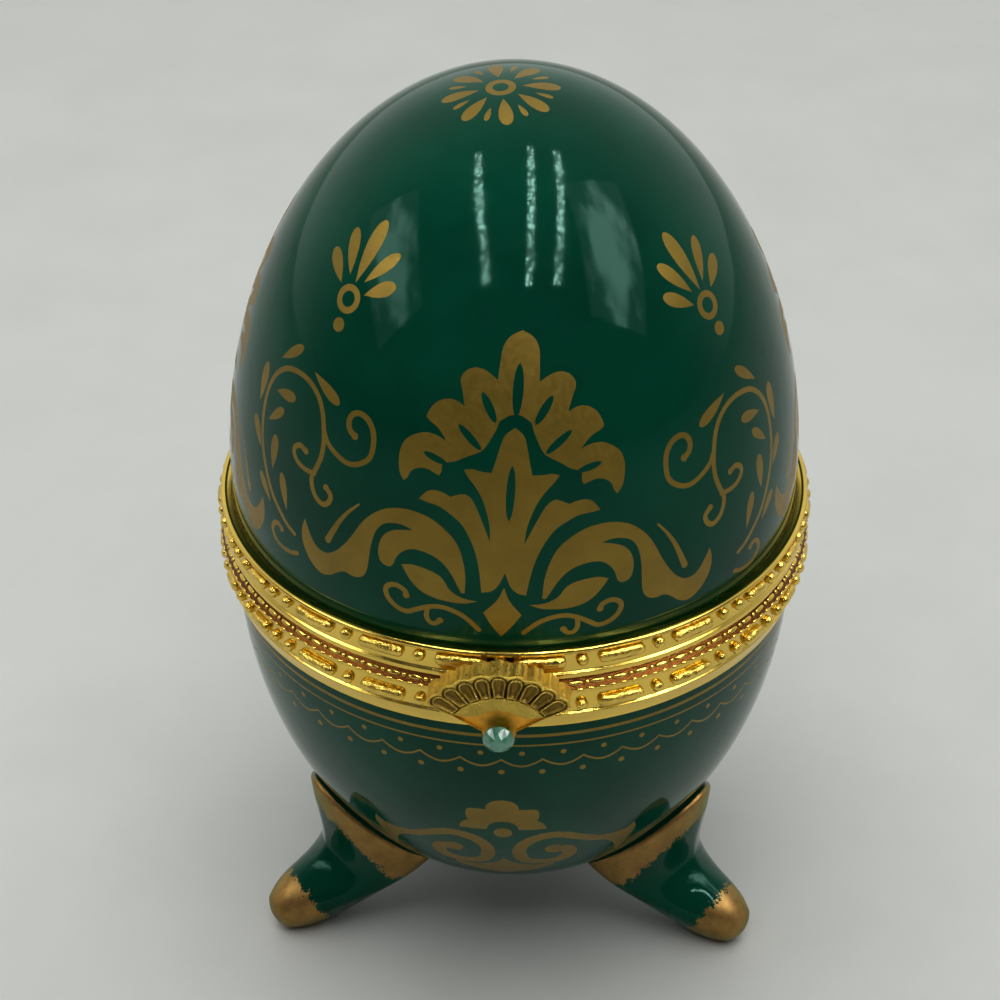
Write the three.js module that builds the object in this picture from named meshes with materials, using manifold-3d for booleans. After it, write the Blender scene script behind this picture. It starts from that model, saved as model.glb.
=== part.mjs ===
import * as THREE from 'three';
import { mergeVertices } from 'three/addons/utils/BufferGeometryUtils.js';
import Module from 'manifold-3d';

// A hinged porcelain egg on three feet, in millimetres, +Z up and the clasp towards -Y.
// The egg's axis is upright, and the feet stand on z = 0.

// Porcelain egg, the same radius above and below its rims
const eggRadius = 35;
const eggWall = 3;

// Porcelain lid
const lidHeight = 53.4;
const lidFullness = [0.1285, -0.092];
const lidCollar = 1.0;

// Porcelain bowl
const bowlDepth = 45;
const bowlFullness = [-0.065, 0.105];
const bellyHeight = 4.7;

// Cast rims, each with a channel that holds the porcelain's edge
const channelGap = 0.15;
const bandThickness = 1.25;
const innerBandThickness = 0.8;
const innerBandHeight = 3.1;
const flangeThickness = 0.9;
const bowlRimHeight = 7.1;
const lidRimHeight = 4.4;
const seamGap = 0.1;
const lipProud = 0.15;
const lipHeight = 0.5;
const ledgeDrop = 0.2;
const seamChamfer = 0.3;
const skirtTaper = 0.8;
const skirtHeight = 1.9;
const milledProud = 0.4;
const milledHeight = 0.5;
const bevelWidth = 1.1;
const bevelHeight = 1.2;

// Bar and bead ornament on each rim
const beadRadius = 0.62;
const barHalfHeight = 0.72;
const ornamentProud = 0.6;
const singleBeadPitch = 15.13;
const singleBeadsEachSide = 2;
const pairedSpans = 18;
const pairSpacing = 4.2;
const longBarGap = 3.0;
const shortBarGap = 2.35;
const lidOrnamentHeight = 2.7;
const bowlOrnamentHeight = 3.4;
const hingeClearAngle = 12;
const claspClearAngle = 2;

// Feet
const footCount = 3;
const padHalfAngle = 27;
const padTopHeight = 22.6;
const padCornerHeight = 11.3;
const padArchPower = 1.6;
const padProud = 1;
const padRoot = 1.5;
const soleRootHeight = 7.2;
const ankleReach = 31.1;
const ankleHeight = 4.1;
const ankleRadius = 4.2;
const anklePitch = 22;
const instepSag = [[-1.7, -4.4], [-6.5, -3.8]];
const soleSag = [[0, -1.4], [0, -1.4]];
const sideSpread = [1.3, 1.0];
const sidePull = [0.85, 3.3];
const toeReach = 31.5;
const toeRadius = 4.25;
const toeHeight = 3.9;

// Fan clasp with its stone
const fanHalfWidth = 10.1;
const fanHeight = 9;
const fanHalfAngle = 58.5;
const fanFlutes = 9;
const fanScallop = 0.35;
const fanThickness = 2.9;
const fanBackGap = 0.4;
const fanStoneDrop = 4.7;
const fanRootHalfWidth = 1.6;
const fanRootHeight = 3;
const fanRootGap = 0.05;
const fluteLength = 2.7;
const fluteMargin = 0.35;
const fluteRoundShare = 0.8;
const fluteDepth = 0.35;
const fluteRidge = 0.22;
const fanHubRadius = 2;
const fanHubAngle = 78;
const hollowDepth = 0.7;
const hollowEdge = [[0, 3.7], [1.1, 3.5], [2.2, 2.95], [3.5, 2.6], [5.4, 2.85], [7, 3.1], [7, -3]];
const stoneRadius = 1.85;
const stoneTableRadius = 1;
const stoneBackRadius = 1.2;
const stoneCrown = 1.1;
const stoneGirdle = 0.3;
const stoneBase = 1;
const stoneSeatGap = 0.05;
const stoneFacets = 8;

// Hinge
const knuckleRadius = 1.15;
const hingeOffset = 1.9;
const outerKnuckleLength = 4;
const middleKnuckleLength = 5;
const knuckleGap = 0.15;
const leafThickness = 0.8;
const pinRadius = 0.5;
const pinGap = 0.1;
const pinHead = 0.15;

// Facets
const turnSteps = 40;
const outerSteps = 10;
const innerSteps = 6;
const barSides = 6;
const flutePoints = 4;
const hubPoints = 6;
const padSteps = 10;
const soleSteps = 6;
const legSteps = 6;
const toeSteps = 12;
const toeRows = 8;
const hingeSteps = 16;
const weldDistance = 1e-4;

// Heights and radii that follow from the sizes above
const bowlTop = bellyHeight + bowlDepth;
const seamHeight = bowlTop + bowlRimHeight;
const lidRimFoot = seamHeight + seamGap;
const lidRimTop = lidRimFoot + lidRimHeight;
const lidFoot = lidRimTop + lidCollar;
const lidEdge = lidRimFoot + flangeThickness + channelGap;
const bowlEdge = seamHeight - flangeThickness - channelGap;
const seat = eggRadius + channelGap;
const channelBack = eggRadius - eggWall - channelGap;
const rimInside = channelBack - innerBandThickness;
const bandRadius = seat + bandThickness;
const ornamentReach = bandRadius + ornamentProud;
const hingeReach = bandRadius + hingeOffset;
const hingeHeight = seamHeight + seamGap / 2;
const fanBack = -(ornamentReach + fanBackGap);
const fanFace = fanBack - fanThickness;
const stoneHeight = seamHeight - fanStoneDrop;
const stoneBack = fanFace + hollowDepth - stoneSeatGap;
const stoneFront = stoneBack - stoneBase - stoneGirdle - stoneCrown;
const backReach = hingeReach + knuckleRadius;

const wasm = await Module();
wasm.setup();

const radians = THREE.MathUtils.degToRad;
const lerp = THREE.MathUtils.lerp;

// A closed body from a geometry, with its shared vertices merged and its faces pointing out
function solid(geometry) {
  const bare = geometry.index ? geometry.toNonIndexed() : geometry.clone();
  bare.deleteAttribute('normal');
  bare.deleteAttribute('uv');
  const merged = mergeVertices(bare, weldDistance);
  const vertProperties = Float32Array.from(merged.attributes.position.array);
  const corners = merged.index.array;
  const kept = [];
  let volume = 0;
  const point = (i) => new THREE.Vector3().fromArray(vertProperties, 3 * i);
  for (let i = 0; i < corners.length; i += 3) {
    const [a, b, c] = [corners[i], corners[i + 1], corners[i + 2]];
    if (a !== b && b !== c && c !== a) {
      kept.push(a, b, c);
      volume += point(a).dot(point(b).cross(point(c)));
    }
  }
  if (volume < 0) kept.reverse();
  return new wasm.Manifold(new wasm.Mesh({ numProp: 3, vertProperties, triVerts: Uint32Array.from(kept) }));
}

function union(bodies) {
  return bodies.reduce((whole, body) => whole.add(body));
}

function piece(name, body, material) {
  const mesh = body.getMesh();
  const geometry = new THREE.BufferGeometry();
  geometry.setAttribute('position', new THREE.BufferAttribute(mesh.vertProperties, 3));
  geometry.setIndex(new THREE.BufferAttribute(mesh.triVerts, 1));
  geometry.computeVertexNormals();
  const part = new THREE.Mesh(geometry, material);
  part.name = name;
  return part;
}

// A body turned about the egg's axis, from its radius and height points
function turned(points) {
  const profile = points.map(([radius, height]) => new THREE.Vector2(radius, height));
  return solid(new THREE.LatheGeometry(profile, turnSteps).rotateX(Math.PI / 2));
}

// A ring about the egg's axis, whose section closes on itself
function ring(section) {
  return turned([...section, section[0]]);
}

// Points of a body placed at an azimuth, where 0 faces the clasp and the turn is counter-clockwise
function facing(geometry, azimuth) {
  return geometry.rotateZ(radians(azimuth));
}

// Radius and rise of an egg's side, from its foot to its tip
function eggShare(share, fullness) {
  return Math.sqrt((1 - share * share) * (1 + fullness[0] * share + fullness[1] * share * share));
}

function eggSide(radius, height, fullness, steps) {
  const side = [];
  for (let step = 0; step < steps; step += 1) {
    const share = Math.sin((Math.PI / 2) * (step / steps));
    side.push([radius * eggShare(share, fullness), height * share]);
  }
  side.push([0, height]);
  return side;
}

// Porcelain lid, open below
function lidDome() {
  const outside = eggSide(eggRadius, lidHeight, lidFullness, outerSteps);
  const inside = eggSide(eggRadius - eggWall, lidHeight - eggWall, lidFullness, innerSteps);
  const lift = ([radius, rise]) => [radius, lidFoot + rise];
  return turned([
    ...outside.map(lift).reverse(),
    [eggRadius, lidEdge],
    [eggRadius - eggWall, lidEdge],
    ...inside.map(lift),
  ]);
}

// Outside and inside of the porcelain bowl, as solids from its underside up
function bowlSolid(inset, top, steps) {
  const side = eggSide(eggRadius - inset, bowlDepth - inset, bowlFullness, steps);
  const below = side.map(([radius, drop]) => [radius, bowlTop - drop]).reverse();
  return turned([...below, [eggRadius - inset, top], [0, top]]);
}

function bowlRadiusAt(height) {
  const share = THREE.MathUtils.clamp((bowlTop - height) / bowlDepth, 0, 1);
  return eggRadius * eggShare(share, bowlFullness);
}

// A point at an angle off the foot's own direction, which is -Y before the foot is turned
function aroundAxis(angle, radius, height) {
  return new THREE.Vector3(radius * Math.sin(angle), -radius * Math.cos(angle), height);
}

// The arched top edge of a foot's pad, and the line where its sole meets the bowl
function padEdge(side, inset) {
  const angle = side * radians(padHalfAngle);
  const drop = (padTopHeight - padCornerHeight) * Math.abs(side) ** padArchPower;
  const height = padTopHeight - drop;
  return aroundAxis(angle, bowlRadiusAt(height) + padProud - inset, height);
}

function soleEdge(side, inset) {
  const angle = side * radians(padHalfAngle);
  const height = lerp(soleRootHeight, padCornerHeight, side * side);
  return aroundAxis(angle, bowlRadiusAt(height) + padProud * Math.abs(side) - inset, height);
}

// The round end of the leg, just behind the toe
function ankle(side, upper) {
  const pitch = radians(anklePitch);
  const turn = (Math.PI / 2) * side;
  const across = ankleRadius * Math.sin(turn);
  const up = (upper ? 1 : -1) * ankleRadius * Math.cos(turn);
  return new THREE.Vector3(across, -(ankleReach + up * Math.sin(pitch)), ankleHeight + up * Math.cos(pitch));
}

// One lengthwise line of the leg, bent at one third and two thirds of its way from the bowl to the ankle
function legLine(side, upper) {
  const start = upper ? padEdge(side, 0) : soleEdge(side, 0);
  const end = ankle(side, upper);
  const edge = Math.abs(side);
  const middle = 1 - side * side;
  const bend = (third) => {
    const [outward, upward] = (upper ? instepSag : soleSag)[third];
    const point = start.clone().lerp(end, (third + 1) / 3);
    point.x += sideSpread[third] * side * edge;
    point.y += sidePull[third] * edge - outward * middle;
    point.z += upward * middle;
    return point;
  };
  return new THREE.CubicBezierCurve3(start, bend(0), bend(1), end);
}

// A leg as a skin over closed loops, from inside the bowl's wall to the ankle
function leg() {
  const loop = [];
  for (let step = 0; step <= padSteps; step += 1) loop.push([(2 * step) / padSteps - 1, true]);
  for (let step = 1; step < soleSteps; step += 1) loop.push([1 - (2 * step) / soleSteps, false]);
  const inset = padProud + padRoot;
  const root = loop.map(([side, upper]) => (upper ? padEdge(side, inset) : soleEdge(side, inset)));
  const lines = loop.map(([side, upper]) => legLine(side, upper));
  const loops = [root];
  for (let step = 0; step <= legSteps; step += 1) loops.push(lines.map((line) => line.getPoint(step / legSteps)));
  const middleOf = (points) =>
    points.reduce((sum, point) => sum.add(point), new THREE.Vector3()).divideScalar(points.length);
  const positions = [];
  const face = (...points) => points.forEach((point) => positions.push(...point.toArray()));
  const startMiddle = middleOf(loops[0]);
  const endMiddle = middleOf(loops[loops.length - 1]);
  for (let i = 0; i < loop.length; i += 1) {
    const next = (i + 1) % loop.length;
    face(startMiddle, loops[0][next], loops[0][i]);
    face(endMiddle, loops[loops.length - 1][i], loops[loops.length - 1][next]);
    for (let row = 1; row < loops.length; row += 1) {
      face(loops[row - 1][i], loops[row - 1][next], loops[row][next]);
      face(loops[row - 1][i], loops[row][next], loops[row][i]);
    }
  }
  const geometry = new THREE.BufferGeometry();
  geometry.setAttribute('position', new THREE.Float32BufferAttribute(positions, 3));
  return geometry;
}

function toe() {
  const ball = new THREE.SphereGeometry(toeRadius, toeSteps, toeRows).rotateX(Math.PI / 2);
  return ball.translate(0, -toeReach, toeHeight);
}

// Everything below the table, cut off the toes to give each a flat sole
function belowTable() {
  const side = 4 * toeReach;
  return solid(new THREE.BoxGeometry(side, side, 2 * toeRadius).translate(0, 0, -toeRadius));
}

// Porcelain bowl with its three feet, cast as one
function bowlWithFeet() {
  const bodies = [bowlSolid(0, bowlEdge, outerSteps)];
  for (let foot = 0; foot < footCount; foot += 1) {
    const azimuth = 180 + foot * (360 / footCount);
    bodies.push(solid(facing(leg(), azimuth)), solid(facing(toe(), azimuth)));
  }
  const inside = bowlSolid(eggWall, seamHeight, innerSteps);
  return union(bodies).subtract(inside).subtract(belowTable());
}

// Where the beads and bars sit, as azimuths from the clasp
function ornamentPlaces() {
  const beads = [];
  const bars = [];
  for (let bead = -singleBeadsEachSide; bead <= singleBeadsEachSide; bead += 1) {
    beads.push(bead * singleBeadPitch);
  }
  for (let bar = -singleBeadsEachSide - 1; bar <= singleBeadsEachSide; bar += 1) {
    bars.push([bar * singleBeadPitch + longBarGap, (bar + 1) * singleBeadPitch - longBarGap]);
  }
  const firstPair = singleBeadPitch * (singleBeadsEachSide + 1);
  const pairPitch = (360 - 2 * firstPair - pairSpacing) / pairedSpans;
  for (let pair = 0; pair <= pairedSpans; pair += 1) {
    const first = firstPair + pair * pairPitch;
    const second = first + pairSpacing;
    beads.push(first, second);
    if (pair < pairedSpans) bars.push([second + shortBarGap, first + pairPitch - shortBarGap]);
  }
  return { beads, bars };
}

function offClasp(azimuth) {
  return Math.abs(azimuth) > claspClearAngle;
}

function offHinge(azimuth) {
  return Math.abs(azimuth - 180) > hingeClearAngle;
}

function bead(azimuth, height) {
  const ball = new THREE.OctahedronGeometry(beadRadius).translate(0, -(ornamentReach - beadRadius), height);
  return solid(facing(ball, azimuth));
}

function bar([from, to], height) {
  const length = bandRadius * radians(to - from);
  const rod = new THREE.CylinderGeometry(ornamentProud, ornamentProud, length, barSides);
  rod.rotateZ(Math.PI / 2).scale(1, 1, barHalfHeight / ornamentProud);
  return solid(facing(rod.translate(0, -bandRadius, height), (from + to) / 2));
}

function ornament(height) {
  const { beads, bars } = ornamentPlaces();
  const shownBeads = beads.filter((azimuth) => offClasp(azimuth) && offHinge(azimuth));
  const shownBars = bars.filter(([from, to]) => offHinge((from + to) / 2));
  return [
    ...shownBeads.map((azimuth) => bead(azimuth, height)),
    ...shownBars.map((span) => bar(span, height)),
  ];
}

// Hinge knuckles lie along X behind the rims, on the line where the rims meet
function alongHinge(radius, length, middle) {
  const rod = new THREE.CylinderGeometry(radius, radius, length, hingeSteps).rotateZ(Math.PI / 2);
  return rod.translate(middle, hingeReach, hingeHeight);
}

function pinHole() {
  const length = 2 * (middleKnuckleLength + 2 * outerKnuckleLength);
  return solid(alongHinge(pinRadius + pinGap, length, 0));
}

// One knuckle with the leaf that joins it to its rim, above the seam for the lid and below for the bowl
function knuckle(length, middle, side) {
  const root = bandRadius - bandThickness / 2;
  const leaf = new THREE.BoxGeometry(length, hingeReach - root, leafThickness);
  const rise = side * (knuckleRadius - leafThickness / 2);
  leaf.translate(middle, (hingeReach + root) / 2, hingeHeight + rise);
  return solid(alongHinge(knuckleRadius, length, middle)).add(solid(leaf));
}

const outerKnuckleMiddle = middleKnuckleLength / 2 + knuckleGap + outerKnuckleLength / 2;

// Rim of the lid: a channel for the porcelain, a ledge and lip on top, and a band with bars and beads
function lidRim() {
  const channel = ring([
    [rimInside, lidRimFoot],
    [bandRadius - seamChamfer, lidRimFoot],
    [bandRadius, lidRimFoot + seamChamfer],
    [bandRadius, lidRimTop - lipHeight],
    [bandRadius + lipProud, lidRimTop - lipHeight / 2],
    [bandRadius - lipProud, lidRimTop],
    [seat, lidRimTop - ledgeDrop],
    [seat, lidRimFoot + flangeThickness],
    [channelBack, lidRimFoot + flangeThickness],
    [channelBack, lidRimFoot + innerBandHeight],
    [rimInside, lidRimFoot + innerBandHeight],
  ]);
  const ornaments = ornament(lidRimFoot + lidOrnamentHeight);
  return union([channel, ...ornaments, knuckle(middleKnuckleLength, 0, 1)]).subtract(pinHole());
}

// Rim of the bowl: a bevelled top with a milled edge, a band with bars and beads, and a skirt
function bowlRim() {
  const milled = bandRadius + milledProud;
  const channel = ring([
    [rimInside, seamHeight],
    [milled - bevelWidth, seamHeight],
    [milled, seamHeight - bevelHeight],
    [milled, seamHeight - bevelHeight - milledHeight / 2],
    [bandRadius, seamHeight - bevelHeight - milledHeight],
    [bandRadius, bowlTop + skirtHeight],
    [bandRadius - skirtTaper, bowlTop],
    [seat, bowlTop],
    [seat, seamHeight - flangeThickness],
    [channelBack, seamHeight - flangeThickness],
    [channelBack, seamHeight - innerBandHeight],
    [rimInside, seamHeight - innerBandHeight],
  ]);
  const ornaments = ornament(bowlTop + bowlOrnamentHeight);
  const knuckles = [-1, 1].map((side) => knuckle(outerKnuckleLength, side * outerKnuckleMiddle, -1));
  return union([channel, ...ornaments, ...knuckles]).subtract(pinHole());
}

function hingePin() {
  const length = 2 * (outerKnuckleMiddle + outerKnuckleLength / 2 + pinHead);
  return solid(alongHinge(pinRadius, length, 0));
}

// A point of the fan's face, at an angle from upright about the stone and some way in from the rim
function fanPoint(inset, angle) {
  return new THREE.Vector2((fanHalfWidth - inset) * Math.sin(angle), (fanHeight - inset) * Math.cos(angle));
}

// The fan's outline: a bulge at the end of each flute, and a round hub below the stone
function fanOutline() {
  const half = radians(fanHalfAngle);
  const hub = radians(fanHubAngle);
  const steps = fanFlutes * flutePoints;
  const points = [];
  for (let step = 0; step <= steps; step += 1) {
    const across = (2 * ((step % flutePoints) / flutePoints) - 1) ** 2;
    points.push(fanPoint(fanScallop * across, lerp(-half, half, step / steps)));
  }
  for (let step = 0; step <= hubPoints; step += 1) {
    const angle = lerp(hub, 2 * Math.PI - hub, step / hubPoints);
    points.push(new THREE.Vector2(fanHubRadius * Math.sin(angle), fanHubRadius * Math.cos(angle)));
  }
  return new THREE.Shape(points);
}

// The recess of one flute, with a round outer end
function flute(index) {
  const pitch = (2 * radians(fanHalfAngle)) / fanFlutes;
  const middle = (index - (fanFlutes - 1) / 2) * pitch;
  const outer = fanScallop + fluteMargin;
  const inner = outer + fluteLength;
  const shoulder = lerp(inner, outer, fluteRoundShare);
  const halfAngle = (inset) => pitch / 2 - fluteRidge / (fanHeight - inset);
  return new THREE.Shape([
    fanPoint(inner, middle - halfAngle(inner)),
    fanPoint(shoulder, middle - halfAngle(shoulder)),
    fanPoint(outer, middle - halfAngle(outer) / 2),
    fanPoint(outer, middle + halfAngle(outer) / 2),
    fanPoint(shoulder, middle + halfAngle(shoulder)),
    fanPoint(inner, middle + halfAngle(inner)),
  ]);
}

// The hollow behind the stone, arched over it and open below
function hollow() {
  const right = hollowEdge.map(([across, up]) => new THREE.Vector2(across, up));
  const left = hollowEdge.slice(1).map(([across, up]) => new THREE.Vector2(-across, up));
  return new THREE.Shape([...right, ...left.reverse()]);
}

// An outline in the plane of the fan, made solid from one depth towards the front
function towardsFront(shape, back, depth) {
  const body = new THREE.ExtrudeGeometry(shape, { depth, bevelEnabled: false });
  return solid(body.rotateX(Math.PI / 2).translate(0, back, stoneHeight));
}

// Fan clasp, fixed to the lid's rim by a root behind its upper half
function claspFan() {
  const plate = towardsFront(fanOutline(), fanBack, fanThickness);
  const rootBack = -(bandRadius + fanRootGap);
  const rootFront = fanBack - fanThickness / 2;
  const root = new THREE.BoxGeometry(2 * fanRootHalfWidth, rootBack - rootFront, fanRootHeight);
  root.translate(0, (rootBack + rootFront) / 2, lidRimFoot + seamChamfer + fanRootHeight / 2);
  let fan = plate.add(solid(root));
  for (let index = 0; index < fanFlutes; index += 1) {
    fan = fan.subtract(towardsFront(flute(index), fanFace + fluteDepth, 2 * fluteDepth));
  }
  return fan.subtract(towardsFront(hollow(), fanFace + hollowDepth, 2 * hollowDepth));
}

// Faceted round stone, its table to the front
function claspStone() {
  const girdle = stoneBase + stoneGirdle;
  const profile = [
    [0, 0],
    [stoneBackRadius, 0],
    [stoneRadius, stoneBase],
    [stoneRadius, girdle],
    [stoneTableRadius, girdle + stoneCrown],
    [0, girdle + stoneCrown],
  ].map(([radius, depth]) => new THREE.Vector2(radius, depth));
  const cut = new THREE.LatheGeometry(profile, stoneFacets).rotateX(Math.PI);
  return solid(cut.translate(0, stoneBack, stoneHeight));
}

const glaze = new THREE.MeshStandardMaterial({ color: 0x0b3d2a, roughness: 0.12 });
const gilt = new THREE.MeshStandardMaterial({ color: 0xc89a3a, roughness: 0.25, metalness: 1 });
const stone = new THREE.MeshStandardMaterial({ color: 0x6fc3a0, roughness: 0.05 });

const base = new THREE.Group();
base.add(
  piece('bowl_with_feet', bowlWithFeet(), glaze),
  piece('bowl_rim', bowlRim(), gilt),
  piece('hinge_pin', hingePin(), gilt),
);

const lid = new THREE.Group();
lid.add(
  piece('lid_dome', lidDome(), glaze),
  piece('lid_rim', lidRim(), gilt),
  piece('clasp_fan', claspFan(), gilt),
  piece('clasp_stone', claspStone(), stone),
);

// The origin is on the table, under the middle between the stone's table and the hinge
const eggBox = new THREE.Group();
eggBox.add(base, lid);
eggBox.position.y = -(stoneFront + backReach) / 2;

export default eggBox;
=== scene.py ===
import math

import bmesh
import bpy
import numpy as np
from mathutils import Matrix, Vector
from mathutils.geometry import delaunay_2d_cdt


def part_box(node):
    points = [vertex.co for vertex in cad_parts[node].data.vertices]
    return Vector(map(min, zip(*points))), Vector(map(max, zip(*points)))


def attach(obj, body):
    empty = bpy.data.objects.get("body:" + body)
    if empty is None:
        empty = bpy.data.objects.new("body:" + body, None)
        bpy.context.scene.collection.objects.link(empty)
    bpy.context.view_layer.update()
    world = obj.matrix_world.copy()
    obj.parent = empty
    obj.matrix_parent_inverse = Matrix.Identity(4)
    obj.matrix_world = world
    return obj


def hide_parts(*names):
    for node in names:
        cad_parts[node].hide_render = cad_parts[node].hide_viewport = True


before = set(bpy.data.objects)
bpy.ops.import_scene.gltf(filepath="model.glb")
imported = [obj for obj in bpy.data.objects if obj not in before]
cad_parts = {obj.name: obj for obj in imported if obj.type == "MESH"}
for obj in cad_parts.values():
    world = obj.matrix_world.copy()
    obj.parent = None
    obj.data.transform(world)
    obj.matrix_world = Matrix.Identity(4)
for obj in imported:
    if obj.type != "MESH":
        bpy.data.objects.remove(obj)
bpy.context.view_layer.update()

bl_info = {
    "name": "Porcelain Egg",
    "version": (1, 0, 0),
    "blender": (4, 5, 0),
    "location": "3D View > Sidebar > Egg",
    "description": "Makes a hinged porcelain egg on three feet with gilt rims, a fan clasp and a stone",
    "category": "Add Mesh",
}

MM = 0.001


def frame_box(node):
    """Low and high corners of a node's box in the frame, in millimetres."""
    return [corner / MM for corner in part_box(node)]


DOME_LOW, DOME_HIGH = frame_box("lid_dome")
STONE_LOW, STONE_HIGH = frame_box("clasp_stone")
PIN_LOW, PIN_HIGH = frame_box("hinge_pin")
FAN_FRONT = frame_box("clasp_fan")[0].y
LID_RIM_TOP = frame_box("lid_rim")[1].z
BOWL_TOP = frame_box("bowl_rim")[0].z
AXIS_Y = (DOME_LOW.y + DOME_HIGH.y) / 2
PIN_Y, PIN_Z = (PIN_LOW.y + PIN_HIGH.y) / 2, (PIN_LOW.z + PIN_HIGH.z) / 2
STONE_X, STONE_Z = (STONE_LOW.x + STONE_HIGH.x) / 2, (STONE_LOW.z + STONE_HIGH.z) / 2
LID_RIM_HEIGHT = 4.4
SEAM_GAP = 0.1
SEAM = LID_RIM_TOP - LID_RIM_HEIGHT - SEAM_GAP

# How full the egg's sides are, and the play between the porcelain and its rims in millimetres
LID_FULLNESS = (0.1285, -0.092)
BOWL_FULLNESS = (-0.065, 0.105)
RIM_SEAT = 0.15
# Columns round the porcelain, and the size of its grid in millimetres
COLUMNS = 180
GRID = 1.25


def length(name, value, about):
    """A size in millimetres."""
    return bpy.props.FloatProperty(name=name, default=value, description=about, min=0, soft_max=4 * value + 1)


def angle(name, value, about):
    """An angle, given here in degrees."""
    value = math.radians(value)
    return bpy.props.FloatProperty(name=name, default=value, description=about, subtype="ANGLE", unit="ROTATION")


def count(name, value, about):
    return bpy.props.IntProperty(name=name, default=value, description=about, min=1)


def colour(name, value, about):
    looks = {"subtype": "COLOR", "size": 3, "min": 0, "max": 1}
    return bpy.props.FloatVectorProperty(name=name, default=value, description=about, **looks)


class EggSizes(bpy.types.PropertyGroup):
    """Sizes of the porcelain lid and bowl, in millimetres."""

    radius: length("Egg radius", 35, "Outer radius of the porcelain at the rims, in mm")
    wall: length("Wall", 3, "Thickness of the porcelain, in mm")
    lid_height: length("Lid height", 53.4, "Rise of the lid above its collar, in mm")
    bowl_depth: length("Bowl depth", 45, "Depth of the bowl below its rim, in mm")
    belly: length("Belly height", 4.7, "Height of the bowl's underside above the table, in mm")


class FootSizes(bpy.types.PropertyGroup):
    """Sizes of the three feet, in millimetres."""

    pad_half_angle: angle("Pad half angle", 27, "Half of the angle that a pad covers on the bowl")
    pad_top: length("Pad top", 22.6, "Height of the top of a pad's arch, in mm")
    pad_corner: length("Pad corner", 11.3, "Height of a pad's two lower corners, in mm")
    pad_proud: length("Pad proud", 1, "How far a pad stands off the bowl, in mm")
    edge_round: length("Pad edge round", 0.7, "Radius along a pad's edge, in mm")
    sole_root: length("Sole root", 7.2, "Height where a foot's underside meets the bowl, in mm")
    ankle_reach: length("Ankle reach", 31.1, "Distance of the ankle from the egg's axis, in mm")
    ankle_height: length("Ankle height", 4.1, "Height of the ankle's middle, in mm")
    ankle_radius: length("Ankle radius", 4.2, "Radius of the ankle, in mm")
    ankle_pitch: angle("Ankle pitch", 22, "Lean of the ankle's section")
    toe_reach: length("Toe reach", 35.7, "Distance of the toe's tip from the egg's axis, in mm")
    band_width: length("Gold band", 4.6, "Width of the brushed gold band under a pad's edge, in mm")


class RimSizes(bpy.types.PropertyGroup):
    """Sizes of the two gilt rims, in millimetres."""

    band_radius: length("Band radius", 36.4, "Outer radius of the plain bands, in mm")
    field_depth: length("Field depth", 0.3, "Depth of the field behind the beads and bars, in mm")
    bead_radius: length("Bead radius", 0.74, "Radius of a bead, in mm")
    bar_half_height: length("Bar half height", 0.76, "Half of a bar's height, in mm")
    bar_proud: length("Bar proud", 0.62, "How far a bar stands off its band, in mm")
    bead_pitch: angle("Bead pitch", 15.13, "Angle between the single beads in front")
    pair_spacing: angle("Pair spacing", 4.2, "Angle between the two beads of a pair")
    milled_count: count("Milled ribs", 172, "Number of ribs along the milled edge")
    oval_count: count("Ovals", 168, "Number of ovals along the bevel")


class EggColours(bpy.types.PropertyGroup):
    """Colours of the egg's finishes."""

    glaze: colour("Glaze", (0.0010, 0.047, 0.025), "Deep green of the glaze")
    transfer: colour("Transfer gold", (0.215, 0.139, 0.017), "Matt gold of the painted ornament")
    brushed: colour("Brushed gold", (0.30, 0.17, 0.05), "Browner gold brushed on the feet")
    gilt: colour("Gilt", (0.75, 0.52, 0.095), "Polished gold of the cast metal")
    stone: colour("Stone", (0.068, 0.3, 0.175), "Pale green of the stone")
    inside: colour("Inside", (0.78, 0.77, 0.72), "White glaze inside")


def sizes():
    return bpy.context.scene.porcelain_egg


def egg_share(share, fullness):
    """Radius of an egg's side at a share of its height, as a share of its greatest radius."""
    fuller = 1 + fullness[0] * share + fullness[1] * share * share
    return np.sqrt(np.maximum((1 - share * share) * fuller, 0))


def egg_side(radius, height, fullness, steps):
    """Radius and rise from the foot to the tip of an egg's side, closer together near the tip."""
    share = np.sin(np.linspace(0, math.pi / 2, steps + 1))
    return np.stack([radius * egg_share(share, fullness), height * share], 1)


def new_object(name, vertices, faces, materials=(), kinds=None, smooth=True, sharp=None, edges=()):
    """A mesh object at the origin, from points in millimetres."""
    mesh = bpy.data.meshes.new(name)
    places = [tuple(point) for point in np.asarray(vertices, float) * MM]
    mesh.from_pydata(places, list(edges), [tuple(face) for face in faces])
    for material in materials:
        mesh.materials.append(material)
    if kinds is not None:
        mesh.polygons.foreach_set("material_index", np.asarray(kinds, np.int32))
    mesh.polygons.foreach_set("use_smooth", np.full(len(mesh.polygons), smooth))
    if sharp is not None:
        mesh.set_sharp_from_angle(angle=math.radians(sharp))
    mesh.update()
    obj = bpy.data.objects.new(name, mesh)
    bpy.context.scene.collection.objects.link(obj)
    return obj


def around(azimuth, radius, height):
    """Points about the egg's axis. Azimuth 0 faces the clasp."""
    azimuth, radius, height = np.broadcast_arrays(azimuth, radius, height)
    return np.stack([radius * np.sin(azimuth), AXIS_Y - radius * np.cos(azimuth), height], -1)


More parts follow.
